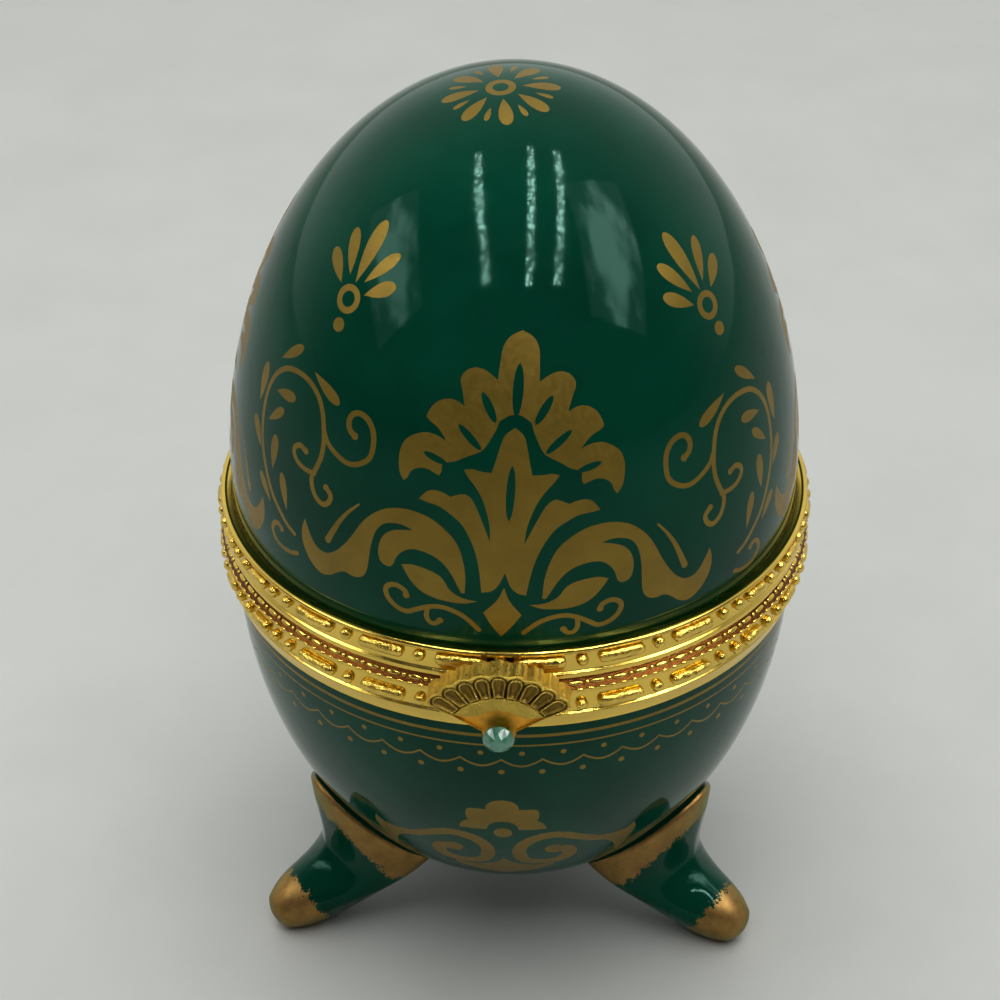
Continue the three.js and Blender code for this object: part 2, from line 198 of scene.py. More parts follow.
def rounded(points, radii, steps=3):
    """A closed profile whose corners are rounded, each within half of its shorter side."""
    points = [np.array(point, float) for point in points]
    out = []
    for i, (point, radius) in enumerate(zip(points, radii)):
        before, after = points[i - 1] - point, points[(i + 1) % len(points)] - point
        a, b = np.linalg.norm(before), np.linalg.norm(after)
        cut = min(radius, 0.45 * a, 0.45 * b)
        start, end = point + before / a * cut, point + after / b * cut
        for t in np.linspace(0, 1, steps + 1):
            out.append((1 - t) ** 2 * start + 2 * t * (1 - t) * point + t * t * end)
    return np.array(out)


def ring_faces(n, rings, first=0, closed=False):
    """Faces between rings of n vertices that follow each other, and from the last to the first if closed."""
    faces = []
    for row in range(rings if closed else rings - 1):
        low, high = first + row * n, first + (row + 1) % rings * n
        faces += [(low + i, low + (i + 1) % n, high + (i + 1) % n, high + i) for i in range(n)]
    return faces


def end_faces(n, first, middle):
    """Triangles that close a ring of n vertices with one in its middle."""
    return [(middle, first + i, first + (i + 1) % n) for i in range(n)]


def revolve(profile, steps, closed=True):
    """Vertices and faces of a profile turned about the egg's axis. A point on the axis becomes one vertex."""
    vertices, rows = [], []
    azimuths = np.linspace(0, 2 * math.pi, steps, endpoint=False)
    for radius, height in profile:
        first = len(vertices)
        if radius < 1e-6:
            rows.append([first] * steps)
            vertices.append((0, AXIS_Y, height))
        else:
            rows.append(list(range(first, first + steps)))
            vertices.extend(around(azimuths, radius, height).tolist())
    faces = []
    for row in range(len(rows) if closed else len(rows) - 1):
        low, high = rows[row], rows[(row + 1) % len(rows)]
        for i in range(steps):
            j = (i + 1) % steps
            face = [low[i], low[j], high[j], high[i]]
            face = [corner for k, corner in enumerate(face) if corner != face[k - 1]]
            if len(face) > 2:
                faces.append(face)
    return vertices, faces


def block(name, xs, ys, zs):
    """A plain gilt block between pairs of places along X, Y and Z."""
    corners = [(x, y, z) for x in xs for y in ys for z in zs]
    sides = [(0, 1, 3, 2), (4, 6, 7, 5), (0, 4, 5, 1), (2, 3, 7, 6), (0, 2, 6, 4), (1, 5, 7, 3)]
    return outward(new_object(name, corners, sides, (finish("gilt"),), smooth=False))


def outward(obj):
    """Turns the faces of closed shells outwards."""
    work = bmesh.new()
    work.from_mesh(obj.data)
    bmesh.ops.recalc_face_normals(work, faces=work.faces)
    work.to_mesh(obj.data)
    work.free()
    obj.data.update()
    return obj


def weighted(obj):
    """Keeps flat faces flat where they meet small round edges."""
    modifier = obj.modifiers.new("Flat faces", "WEIGHTED_NORMAL")
    modifier.mode = "FACE_AREA"
    modifier.keep_sharp = True
    return plain(obj)


def plain(obj):
    """Turns an object with modifiers into a plain mesh."""
    graph = bpy.context.evaluated_depsgraph_get()
    mesh = bpy.data.meshes.new_from_object(obj.evaluated_get(graph))
    obj.modifiers.clear()
    old = obj.data
    obj.data = mesh
    mesh.name = obj.name
    bpy.data.meshes.remove(old)
    return obj


UNMARKED = -9.0


def join(name, objects):
    """One object from several, with material slots merged and every normal and gold mark kept."""
    materials, places, faces, kinds, smooth, normals, marks = [], [], [], [], [], [], []
    first = 0
    for obj in objects:
        part = obj.data
        slots = []
        for material in part.materials:
            if material not in materials:
                materials.append(material)
            slots.append(materials.index(material))
        places += [tuple(v.co) for v in part.vertices]
        for face in part.polygons:
            faces.append(tuple(first + v for v in face.vertices))
            kinds.append(slots[face.material_index])
            smooth.append(face.use_smooth)
        normals += [tuple(n.vector) for n in part.corner_normals]
        mark = part.attributes.get("gold_edge")
        marks += [value.value for value in mark.data] if mark else [UNMARKED] * len(part.vertices)
        first += len(part.vertices)
        bpy.data.objects.remove(obj)
        bpy.data.meshes.remove(part)
    mesh = bpy.data.meshes.new(name)
    mesh.from_pydata(places, [], faces)
    for material in materials:
        mesh.materials.append(material)
    mesh.polygons.foreach_set("material_index", kinds)
    mesh.polygons.foreach_set("use_smooth", smooth)
    if max(marks) > UNMARKED:
        mesh.attributes.new("gold_edge", "FLOAT", "POINT").data.foreach_set("value", marks)
    mesh.update()
    mesh.normals_split_custom_set(normals)
    joined = bpy.data.objects.new(name, mesh)
    bpy.context.scene.collection.objects.link(joined)
    return joined


# Finishes


def add(tree, kind, values=None, **settings):
    """A new node with its settings made, and with its inputs linked or given values."""
    node = tree.nodes.new(kind)
    for key, value in settings.items():
        setattr(node, key, value)
    for key, value in (values or {}).items():
        if isinstance(value, bpy.types.NodeSocket):
            tree.links.new(value, node.inputs[key])
        else:
            node.inputs[key].default_value = value
    return node


class Finish:
    """Builds a material's nodes with few words."""

    def __init__(self, name):
        self.material = bpy.data.materials.new(name)
        self.material.use_nodes = True
        self.tree = self.material.node_tree
        self.tree.nodes.clear()

    def noise(self, scale, detail=4.0, roughness=0.55, distortion=0.0):
        place = add(self.tree, "ShaderNodeTexCoord").outputs["Object"]
        values = {"Vector": place, "Scale": scale, "Detail": detail, "Roughness": roughness, "Distortion": distortion}
        return add(self.tree, "ShaderNodeTexNoise", values).outputs["Fac"]

    def spread(self, value, low, high, to_low=0.0, to_high=1.0):
        values = {"Value": value, "From Min": low, "From Max": high, "To Min": to_low, "To Max": to_high}
        return add(self.tree, "ShaderNodeMapRange", values).outputs["Result"]

    def math(self, operation, a, b):
        return add(self.tree, "ShaderNodeMath", {0: a, 1: b}, operation=operation).outputs[0]

    def mix(self, share, a, b):
        return add(self.tree, "ShaderNodeMix", {0: share, 6: a, 7: b}, data_type="RGBA").outputs[2]

    def cloudy(self, base, scale, detail, low, dark, light):
        """A colour that drifts between a darker and a lighter gain."""
        drift = self.spread(self.noise(scale, detail), low, 1 - low)
        return self.mix(drift, rgba(base, dark), rgba(base, light))

    def bump(self, height, distance, strength, under=None):
        values = {"Height": height, "Distance": distance, "Strength": strength}
        if under is not None:
            values["Normal"] = under
        return add(self.tree, "ShaderNodeBump", values).outputs["Normal"]

    def surface(self, values):
        shader = add(self.tree, "ShaderNodeBsdfPrincipled", values)
        add(self.tree, "ShaderNodeOutputMaterial", {"Surface": shader.outputs[0]})


def rgba(value, gain=1.0):
    return tuple(min(channel * gain, 1.0) for channel in value) + (1.0,)


def finish(name):
    """A finish by name, made on first use."""
    if name not in bpy.data.materials:
        if name in RUBBED_AND_SHADED_GILTS:
            rubbed_and_shaded_gilt(name, *RUBBED_AND_SHADED_GILTS[name])
        else:
            FINISHES[name](name)
    return bpy.data.materials[name]


GLAZE_GLOSS = {"IOR": 1.5, "Specular IOR Level": 0.15, "Specular Tint": (0.45, 0.95, 0.78, 1)}


def green_tone(f):
    """The glaze's green, a little uneven."""
    return f.cloudy(sizes().colours.glaze, 60, 3, 0.35, 0.82, 1.2)


def make_glaze(name):
    """Deep green gloss glaze with faint ripples."""
    f = Finish(name)
    ripple = f.bump(f.noise(110, 2), 0.00012, 0.5)
    rough = f.spread(f.noise(240, 4), 0.3, 0.7, 0.045, 0.085)
    f.surface({"Base Color": green_tone(f), "Roughness": rough, "Normal": ripple, **GLAZE_GLOSS})


def make_transfer(name):
    """Matt gold transfer, fine-grained, with slight wear."""
    f = Finish(name)
    grain = f.noise(1500, 5, 0.65)
    tone = f.cloudy(sizes().colours.transfer, 180, 4, 0.3, 0.85, 1.12)
    worn = f.math("MULTIPLY", f.spread(grain, 0.62, 0.78), 0.35)
    tone = f.mix(worn, tone, rgba(sizes().colours.glaze, 3.0))
    rough = f.spread(grain, 0.3, 0.7, 0.36, 0.5)
    f.surface({"Base Color": tone, "Metallic": 0.75, "Roughness": rough, "Normal": f.bump(grain, 0.00002, 0.6)})


# Noise in the brushed gold's edge: scale, detail, roughness, and reach in millimetres
EDGE_NOISES = ((1100, 5, 0.7, 3.4), (260, 3, 0.6, 1.4), (3800, 3, 0.7, 2.8))


def make_brushed(name):
    """Green glaze with gold brushed on by hand where the feet's own attribute says so, with ragged edges."""
    f = Finish(name)
    gold = sizes().colours.brushed
    reach = add(f.tree, "ShaderNodeAttribute", attribute_name="gold_edge").outputs["Fac"]
    for scale, detail, roughness, wander in EDGE_NOISES:
        drift = f.math("SUBTRACT", f.noise(scale, detail, roughness), 0.5)
        reach = f.math("ADD", reach, f.math("MULTIPLY", drift, wander))
    gilded = f.spread(reach, -0.08, 0.08)
    streak = f.spread(f.noise(420, 5, 0.7), 0.3, 0.7)
    gold_tone = f.mix(streak, rgba(gold, 0.72), rgba(gold, 1.25))
    thin = f.math("MULTIPLY", f.spread(f.noise(1300, 4), 0.6, 0.75), 0.5)
    gold_tone = f.mix(thin, gold_tone, rgba(gold, 0.4))
    values = {"Base Color": f.mix(gilded, green_tone(f), gold_tone), "Metallic": f.math("MULTIPLY", gilded, 0.75)}
    values["Roughness"] = f.spread(gilded, 0, 1, 0.06, 0.4)
    values["Normal"] = f.bump(f.noise(110, 2), 0.00012, 0.5)
    f.surface({**values, **GLAZE_GLOSS})


def make_gilt(name):
    """Polished gold plate over a fine casting."""
    f = Finish(name)
    tone = f.cloudy(sizes().colours.gilt, 150, 3, 0.3, 0.92, 1.06)
    rough = f.spread(f.noise(500, 4), 0.3, 0.7, 0.1, 0.22)
    pits = f.bump(f.noise(900, 5, 0.6), 0.00003, 0.5)
    f.surface({"Base Color": tone, "Metallic": 1.0, "Roughness": rough, "Normal": pits})


def make_cast_gilt(name):
    """Gold plate over a rougher, hand-finished casting, for the bars and beads."""
    f = Finish(name)
    base = sizes().colours.gilt
    pits, dents = f.noise(1100, 5, 0.65), f.noise(620, 3, 0.5)
    tone = f.mix(f.spread(dents, 0.3, 0.7), rgba(base, 0.8), rgba(base, 1.1))
    rough = f.spread(pits, 0.3, 0.7, 0.12, 0.3)
    uneven = f.bump(dents, 0.0004, 0.9, f.bump(pits, 0.00016, 0.8))
    f.surface({"Base Color": tone, "Metallic": 1.0, "Roughness": rough, "Normal": uneven})


# Gilt dulled by handling, with its darkest copies painted shade: gain, tint, roughness and depth of the scratches
RUBBED_AND_SHADED_GILTS = {
    "fan_gilt": (1.25, (1, 1.02, 1.25), 0.3, 0.00005),  # the fan's ribbed side
    "scratched_gilt": (0.8, (1, 1, 0.9), 0.3, 0.00028),  # the fan's plain face and ridges
    "cell_shade_gilt": (0.26, (1, 0.88, 0.8), 0.36, 0.00008),  # the flutes' recessed cells and grooves, darkened as painted shade
    "warm_gilt": (0.95, (1, 0.68, 0.4), 0.34, 0.00006),  # the hollow behind the stone
    "shaded_gilt": (0.2, (1, 0.48, 0.5), 0.2, 0.00005),  # the bevel between the rims, darkened and reddened as a painted dark reflection
}


def rubbed_and_shaded_gilt(name, gain, tint, rough, relief):
    """Gold plate with fine scratches in all directions, scaled by a gain that makes the darkest copies painted shade.
    """
    f = Finish(name)
    base = [channel * shade for channel, shade in zip(sizes().colours.gilt, tint)]
    scratches = f.noise(1900, 6, 0.75, distortion=1.5)
    tone = f.cloudy(base, 700, 4, 0.3, gain * 0.8, gain * 1.15)
    coarse = f.spread(scratches, 0.3, 0.7, rough - 0.08, rough + 0.12)
    f.surface({"Base Color": tone, "Metallic": 1.0, "Roughness": coarse, "Normal": f.bump(scratches, relief, 0.9)})


def make_stone(name):
    """Pale green stone, slightly cloudy."""
    f = Finish(name)
    tone = f.cloudy(sizes().colours.stone, 700, 3, 0.35, 0.7, 1.2)
    rough = f.spread(f.noise(1600, 3), 0.3, 0.7, 0.08, 0.16)
    clear = {"IOR": 1.8, "Transmission Weight": 0.15, "Coat Weight": 0.2}
    f.surface({"Base Color": tone, "Roughness": rough, **clear})


def make_white_glaze(name):
    """Plain white glaze inside, with a soft unevenness."""
    f = Finish(name)
    tone = f.cloudy(sizes().colours.inside, 70, 3, 0.35, 0.95, 1.03)
    rough = f.spread(f.noise(200, 3), 0.3, 0.7, 0.08, 0.16)
    f.surface({"Base Color": tone, "Roughness": rough, "Normal": f.bump(f.noise(110, 2), 0.0001, 0.4)})


def make_table(name):
    """Matt pale grey table."""
    f = Finish(name)
    tone = f.mix(f.spread(f.noise(40, 5, 0.6), 0.35, 0.65), (0.60, 0.61, 0.585, 1), (0.63, 0.64, 0.615, 1))
    f.surface({"Base Color": tone, "Roughness": 0.55, "Specular IOR Level": 0.3})


FINISHES = {
    "green_glaze": make_glaze,
    "gold_transfer": make_transfer,
    "brushed_gold": make_brushed,
    "gilt": make_gilt,
    "cast_gilt": make_cast_gilt,
    "pale_stone": make_stone,
    "white_glaze": make_white_glaze,
    "table": make_table,
}

# Painted gold. Places are across and up from a motif's own foot, in millimetres along the glaze.
# Each outline is made of smooth runs, and two runs meet in a corner. Half outlines are mirrored.
PALMETTE_FAN = (
    ((0, 37.85), (1.2, 37.2), (2.0, 35.9), (2.2, 34.0), (2.33, 32.15)),
    ((2.33, 32.15), (3, 32.7), (3.9, 33.2), (4.9, 33.3), (5.8, 32.9), (6.35, 32.2), (6.45, 31.5), (6.17, 30.5),
        (5.8, 28.8)),
    ((5.8, 28.8), (6.8, 29.3), (7.9, 29.3), (9, 28.7), (9.7, 27.8), (10.1, 26.8), (9.7, 26.4), (8.9, 26),
        (8.2, 25.3), (7.65, 24.5)),
    ((7.65, 24.5), (8.8, 24.95), (10, 25), (11.25, 24.5), (12.35, 23.6), (12.95, 22.3), (13.05, 20.8),
        (12.85, 19.5), (12.3, 18.7)),
    ((12.3, 18.7), (11.9, 19.2), (11.5, 20.05), (10.75, 20.6), (9.75, 20.8), (8.75, 20.5), (8.2, 20.3)),
    ((8.2, 20.3), (7.95, 20.85), (7.95, 21.5), (7.7, 21.9), (6.5, 22.3), (5.3, 23), (4.1, 23.6)),
    ((4.1, 23.6), (3.33, 24.2), (2.3, 26.1), (1.75, 27.6)),
    ((1.75, 27.6), (0.7, 28.3), (0, 28.4)),
)
# Green slots in the gold: both ends and the half width, in the middle and on one side
MIDDLE_SLOTS = (((0, 34.3), (0, 28.0), 0.6), ((0, 22.6), (0, 15.8), 0.5))
SIDE_SLOTS = (
    ((3.95, 30.7), (2.2, 27.3), 0.5),
    ((6.4, 26.7), (3.6, 24.0), 0.45),
    ((10.2, 22.7), (7.3, 21.8), 0.42),
)
PALMETTE_LILY = (
    ((0, 26.95), (1.07, 26), (1.6, 24.3), (1.95, 22.8), (2.3, 21.5)),
    ((2.3, 21.5), (3.5, 21.55), (4.5, 21.7), (5.4, 21.5)),
    ((5.4, 21.5), (4.8, 20.6), (3.95, 19.6), (3.2, 18.4), (2.6, 16.9), (2.1, 15), (1.95, 13)),
    ((1.95, 13), (2.5, 14.4), (3.1, 15.8), (3.7, 17.1), (4.3, 18.1), (5.1, 18.6), (6, 18.35), (6.75, 18)),
    ((6.75, 18), (7.6, 18.35), (8.6, 18.45), (9.5, 18.1), (10.4, 17)),
    ((10.4, 17), (9.4, 16.8), (8, 16.6), (6.5, 15.8), (5.25, 14.8), (4.3, 13.3), (3.65, 11.85), (3.15, 10.15),
        (2.8, 8.2), (2.55, 6.3)),
    ((2.55, 6.3), (1.5, 6.6), (0.7, 7.45), (0, 9.2)),
)
PALMETTE_DIAMOND = (((0, 7.2), (0.75, 5.4), (2.2, 3.55)), ((2.2, 3.55), (1.2, 1.9), (0, 0.3)))
SCROLL = (
    (
        (4.45, 5.9), (4.5, 8.2), (4.9, 10.3), (5.7, 12.3), (7, 13.7), (8.7, 14.8), (10.5, 15.25), (12.2, 15.25),
            (14, 14.75), (15.5, 13.8),
        (16.8, 12.5), (17.8, 11), (18.75, 9.3), (19.8, 7.7), (21, 6.3), (22.3, 5.45), (23.6, 5.5), (24.5, 6.2),
            (25.2, 7.3), (25.8, 8.35),
    ),
    (
        (25.8, 8.35), (26.2, 7.2), (26.25, 5.7), (25.75, 4.3), (24.7, 3), (23.2, 2.2), (21.8, 2.5),
            (20.5, 3.55), (19.5, 4.1), (18.25, 4),
        (17.15, 4.45), (16.5, 5.6), (16.25, 7.5), (16, 9.5), (15.45, 11.4), (14.5, 12.6), (13.2, 13.1),
            (12, 13.15), (10.9, 12.85),
    ),
    (
        (10.9, 12.85), (12.2, 12.55), (13.5, 12.05), (14.5, 11.1), (15, 9.8), (15.05, 8.5), (14.7, 7.55),
            (13.8, 7.2), (13.2, 7.6), (12.8, 8.7),
        (12.1, 9.7), (11, 10.4), (9.5, 10.45), (8, 10), (6.9, 9.2), (6, 8), (5.3, 6.7), (4.85, 5.85),
    ),
)
SCROLL_LEAF = (
    ((12.1, 8.05), (10.7, 8.4), (8.9, 8.2), (7.6, 7.75), (6.9, 7.1), (6.3, 6.15), (5.25, 5.4), (4.1, 5.1), (3, 5)),
    ((3, 5), (4.4, 4.5), (6, 4.4), (7.7, 4.5), (9.4, 5), (10.6, 5.9), (11.4, 6.9), (12.1, 8.05)),
)
# Drawn lines, each with its half widths at the start and the end
SCROLL_LINES = (
    (((2.6, 1), (3.6, 2), (4.6, 2.75), (6, 3.3), (7.3, 3.45), (8.65, 3.1), (9.95, 2.4), (11.2, 1.7),
        (12.4, 1.9), (13.5, 2.75), (13.95, 3.85),
      (13.6, 4.65), (12.6, 5), (11.55, 4.55), (11.35, 3.95)), 0.3, 0.34),
    (((8.7, 3.1), (8.8, 1.7), (8.35, 0.95), (7.7, 0.9), (7.15, 1.5)), 0.28, 0.32),
    (((22.1, 7.35), (21.3, 9), (20.4, 10.7), (19.2, 12.4), (17.9, 13.8)), 0.42, 0.12),
)
VINE_LINES = (
    (((0.8, 6.8), (-0.7, 7.5), (-2, 8.5), (-3.5, 9.8), (-4.8, 11.5), (-5.8, 13.3), (-6.7, 15.3), (-7.2, 17.3),
        (-7.4, 19.3), (-7.3, 21.3),
      (-6.8, 23.2), (-5.8, 24.8), (-4.3, 26), (-2.7, 26.5), (-1, 26.6), (0.7, 26.2), (2.2, 25.2), (3.2, 23.8),
          (3.8, 22.2), (4.2, 20.5),
      (4.2, 18.7), (3.7, 17), (3.2, 15.8), (3.3, 14.7), (4, 13.5), (5.2, 12.9), (6.1, 13.5), (6.3, 14.5),
          (5.5, 15.2)), 0.3, 0.34),
    (((4, 21.8), (4.8, 20.7), (6.3, 19.8), (8, 19.3), (9.5, 19.7), (10.7, 20.8), (10.9, 22.3), (10.5, 24),
        (9.5, 25.2), (8.3, 25.6),
      (7.4, 25.2), (7.1, 24.2), (7.5, 23.3), (8.3, 22.8)), 0.3, 0.36),
    (((3.5, 16.2), (2, 16.1), (0.7, 16.4), (-0.2, 17.2), (-0.2, 18), (0.7, 18.6), (1.7, 18.3)), 0.3, 0.34),
    (((1.3, 4.3), (0, 3.8), (-1.7, 3.7), (-3, 4.2), (-3.6, 5.2), (-3.2, 6.2), (-2.3, 6.6),
        (-1.7, 6.2)), 0.28, 0.34),
)
# Leaves from the thick end to the tip, with their half widths
VINE_LEAVES = (
    ((-2.3, 29.6), (-5.8, 26.6), 0.65), ((5.3, 25.6), (0.5, 27.8), 0.7), ((-1.5, 23.5), (-5.3, 22.8), 0.7),
    ((-3.2, 21.3), (-6, 18.7), 0.6), ((-4, 17.7), (-4, 13.2), 0.75), ((-2.1, 13.7), (-0.7, 9.3), 0.65),
    ((-8.5, 24.7), (-8.7, 19.7), 0.8), ((-9.3, 17.7), (-7, 14.5), 0.7), ((-6.7, 11.5), (-4, 8.7), 0.6),
)
SPRIG_PETALS = (
    ((0.2, 9.9), (0.1, 2.0), 1.0), ((-3.3, 7.5), (-1.15, 2.5), 0.85), ((-5.1, 4.2), (-1.9, 1.2), 0.85),
    ((4, 7), (1.2, 2.5), 0.8), ((5.3, 3.5), (1.9, 1.2), 0.9),
)
# Motifs round the lid: azimuth in degrees, height of the foot, lean in degrees, and 1 or -1 where mirrored
PALMETTES = ((0, 0, 3.2, 1), (108, 0, 0, 1), (-98, 0, 0, 1))
VINES = ((-46, 0, 0, 1), (52.5, -3.0, 0, -1), (161, 0, 0, -1), (-158, 0, 0, 1))
SPRIGS = ((-42.2, 37.3, 1, 1), (55, 35, -9, 1), (152, 36, 0, 1), (-146, 36.5, 0, -1))
ROSETTE_PLACE = (-1.5, -1.27)
# Lines round the bowl: arc length from its rim and half width
BOWL_LINES = ((1.95, 0.23), (3.5, 0.13))
SCALLOPS = 44
SCALLOP_ARC, SCALLOP_SAG, SCALLOP_HALF = 5.85, 1.15, 0.16
BOWL_CROWN = (
    ((0, 13.4), (1.2, 13.7), (1.95, 14.6), (2, 15.4)),
    ((2, 15.4), (3, 15.4), (4.2, 15.5), (4.5, 16.3), (4.45, 17.3), (4.2, 18)),
    ((4.2, 18), (5, 18.7), (5.4, 20)),
    ((5.4, 20), (3, 20.1), (1.95, 20)),
    ((1.95, 20), (1.75, 19.1), (1, 18.3), (0, 18.05)),
)
BOWL_CRESCENT = (((0, 28.6), (1.2, 30.4), (3.5, 31.7), (6.2, 31.4)), ((6.2, 31.4), (6, 32.5), (3.5, 34.5),
    (1, 35.8), (0, 36)))
BOWL_SPIRAL = ((11.5, 24.6), (9.5, 23.3), (7.5, 22.1), (5.5, 21.9), (3.4, 22.9), (2.1, 25), (2.0, 27.3),
    (2.7, 29.4), (4.8, 30.4), (7, 29.9),
               (8.2, 28.2), (7.9, 26.4), (6.3, 26))
BOWL_TAIL = (
    ((10.6, 24.0), (12.5, 24.3), (14.6, 24.7), (16, 24.4), (17, 23.3)),
    ((17, 23.3), (17.2, 25), (16.7, 27), (15.8, 29.5), (14.6, 33)),
    ((14.6, 33), (14.3, 30), (13.9, 27.8), (12.8, 26.2), (11.2, 25.4), (10.4, 25.0)),
)


def run_through(points, step=0.3):
    """A smooth line through points, sampled evenly."""
    points = np.array(points, float)
    if len(points) < 3:
        return points
    path = np.concatenate([[2 * points[0] - points[1]], points, [2 * points[-1] - points[-2]]])
    out = []
    for i in range(1, len(path) - 2):
        a, b, c, d = path[i - 1 : i + 3]
        n = max(int(np.linalg.norm(c - b) / step), 1)
        t = (np.arange(n) / n)[:, None]
        out.append(0.5 * (2 * b + (c - a) * t + (2 * a - 5 * b + 4 * c - d) * t**2 + (3 * b - a - 3 * c + d) * t**3))
    return np.concatenate(out + [points[-1:]])


def outline(runs, mirrored=False):
    """A closed outline from smooth runs, with its other half mirrored about the motif's axis."""
    line = np.concatenate([run_through(run)[:-1] for run in runs] + [np.array(runs[-1][-1:], float)])
    if mirrored:
        other = line[::-1] * (-1, 1)
        line = np.concatenate([line, other[1:-1]])
    elif np.allclose(line[0], line[-1]):
        line = line[:-1]
    return line


def strip(left, right):
    """Four-sided pieces between two lines."""
    return [np.array([left[i], right[i], right[i + 1], left[i + 1]]) for i in range(len(left) - 1)]


def drawn(points, start, end):
    """A drawn line as a chain of four-sided pieces, with a round start and a blob at its end."""
    line = run_through(points)
    along = np.gradient(line, axis=0)
    along /= np.linalg.norm(along, axis=1)[:, None]
    half = np.linspace(start, end, len(line))[:, None]
    left, right = line + half * along[:, ::-1] * (-1, 1), line + half * along[:, ::-1] * (1, -1)
    return strip(left, right) + [disc(line[0], start, 14), disc(line[-1], end * 1.25)]


def disc(middle, radius, points=20):
    turn = np.arange(points) * 2 * math.pi / points
    return np.array(middle) + radius * np.stack([np.cos(turn), np.sin(turn)], 1)


def leaf(thick, tip, half_width, points=12):
    """A leaf that swells from its tip to a round end."""
    thick, tip = np.array(thick, float), np.array(tip, float)
    share = (1 - np.cos(np.linspace(0, math.pi, points + 1))) / 2
    swell = 0.68
    rising = np.sin(np.minimum(share / swell, 1) * math.pi / 2)
    falling = np.sqrt(np.maximum(1 - np.maximum((share - swell) / (1 - swell), 0) ** 2, 0))
    half = half_width * rising * falling
    line = tip + (thick - tip) * share[:, None]
    axis = (thick - tip) / np.linalg.norm(thick - tip)
    side = np.array([-axis[1], axis[0]])
    left, right = line + half[:, None] * side, line - half[:, None] * side
    return np.concatenate([left, right[-2:0:-1]])


def slot(start, end, half_width, points=10):
    """A narrow lens between two places."""
    share = np.linspace(0, 1, points + 1)
    start, end = np.array(start, float), np.array(end, float)
    axis = (end - start) / np.linalg.norm(end - start)
    side = np.array([-axis[1], axis[0]])
    half = half_width * np.sqrt(np.sin(share * math.pi))[:, None]
    line = start + (end - start) * share[:, None]
    return np.concatenate([line + half * side, (line - half * side)[-2:0:-1]])


def both_sides(shapes):
    return list(shapes) + [shape * (-1, 1) for shape in shapes]


def palmette():
    gold = [outline(runs, True) for runs in (PALMETTE_FAN, PALMETTE_LILY, PALMETTE_DIAMOND)]
    side = [outline(SCROLL), outline(SCROLL_LEAF)]
    for line, start, end in SCROLL_LINES:
        side += drawn(line, start, end)
    dark = [slot(*given) for given in MIDDLE_SLOTS] + both_sides([slot(*given) for given in SIDE_SLOTS])
    return gold + both_sides(side), dark


def vine():
    gold = []
    for line, start, end in VINE_LINES:
        gold += drawn(line, start, end)
    return gold + [leaf(*given) for given in VINE_LEAVES], []


def sprig():
    gold = [disc((0, 0), 1.7, 32), disc((0, -3.15), 0.83)] + [leaf(*given) for given in SPRIG_PETALS]
    return gold, [disc((0, 0), 0.93, 24)]


# Petals of the rosette at the top: turn in degrees, near and far reach, and half width
ROSETTE_PETALS = ((9, 2.5, 7.0, 0.85), (31.5, 4.1, 6.3, 0.35))


def rosette():
    gold = [disc((0, 0), 1.77, 32)]
    for k in range(8):
        for turn, near, far, half in ROSETTE_PETALS:
            a = math.radians(turn + 45 * k)
            way = np.array([math.sin(a), -math.cos(a)])
            gold.append(leaf(way * far, way * near, half))
    eye = disc((0, 0), 0.93, 24)
    return [shape + ROSETTE_PLACE for shape in gold], [eye + ROSETTE_PLACE]


def bowl_motif():
    half = [outline(BOWL_TAIL)] + drawn(BOWL_SPIRAL, 0.75, 1.0)
    middle = [outline(BOWL_CROWN, True), outline(BOWL_CRESCENT, True), disc((0, 20.8), 1.15, 28)]
    return middle + both_sides(half)


def bowl_border(side):
    """Two drawn lines, scallops and two rows of dots under the bowl's rim."""
    gold = []
    full = 2 * math.pi * side.radius
    cuts = np.linspace(-full / 2, full / 2, COLUMNS + 1)
    for arc, half in BOWL_LINES:
        line = np.stack([cuts, np.full(COLUMNS + 1, arc)], 1)
        gold += strip(line - (0, half), line + (0, half))
    pitch = full / SCALLOPS
    share = np.linspace(-1, 1, 13)
    for k in range(SCALLOPS):
        middle = -full / 2 + (k + 0.5) * pitch
        line = np.stack([middle + share * pitch / 2, SCALLOP_ARC + SCALLOP_SAG * (1 - np.abs(share) ** 1.8)], 1)
        gold += strip(line - (0, SCALLOP_HALF), line + (0, SCALLOP_HALF))
        gold.append(disc((middle, 4.8), 0.36, 12))
        if k:
            gold.append(disc((middle - pitch / 2, 8.0), 0.4, 12))
    return gold


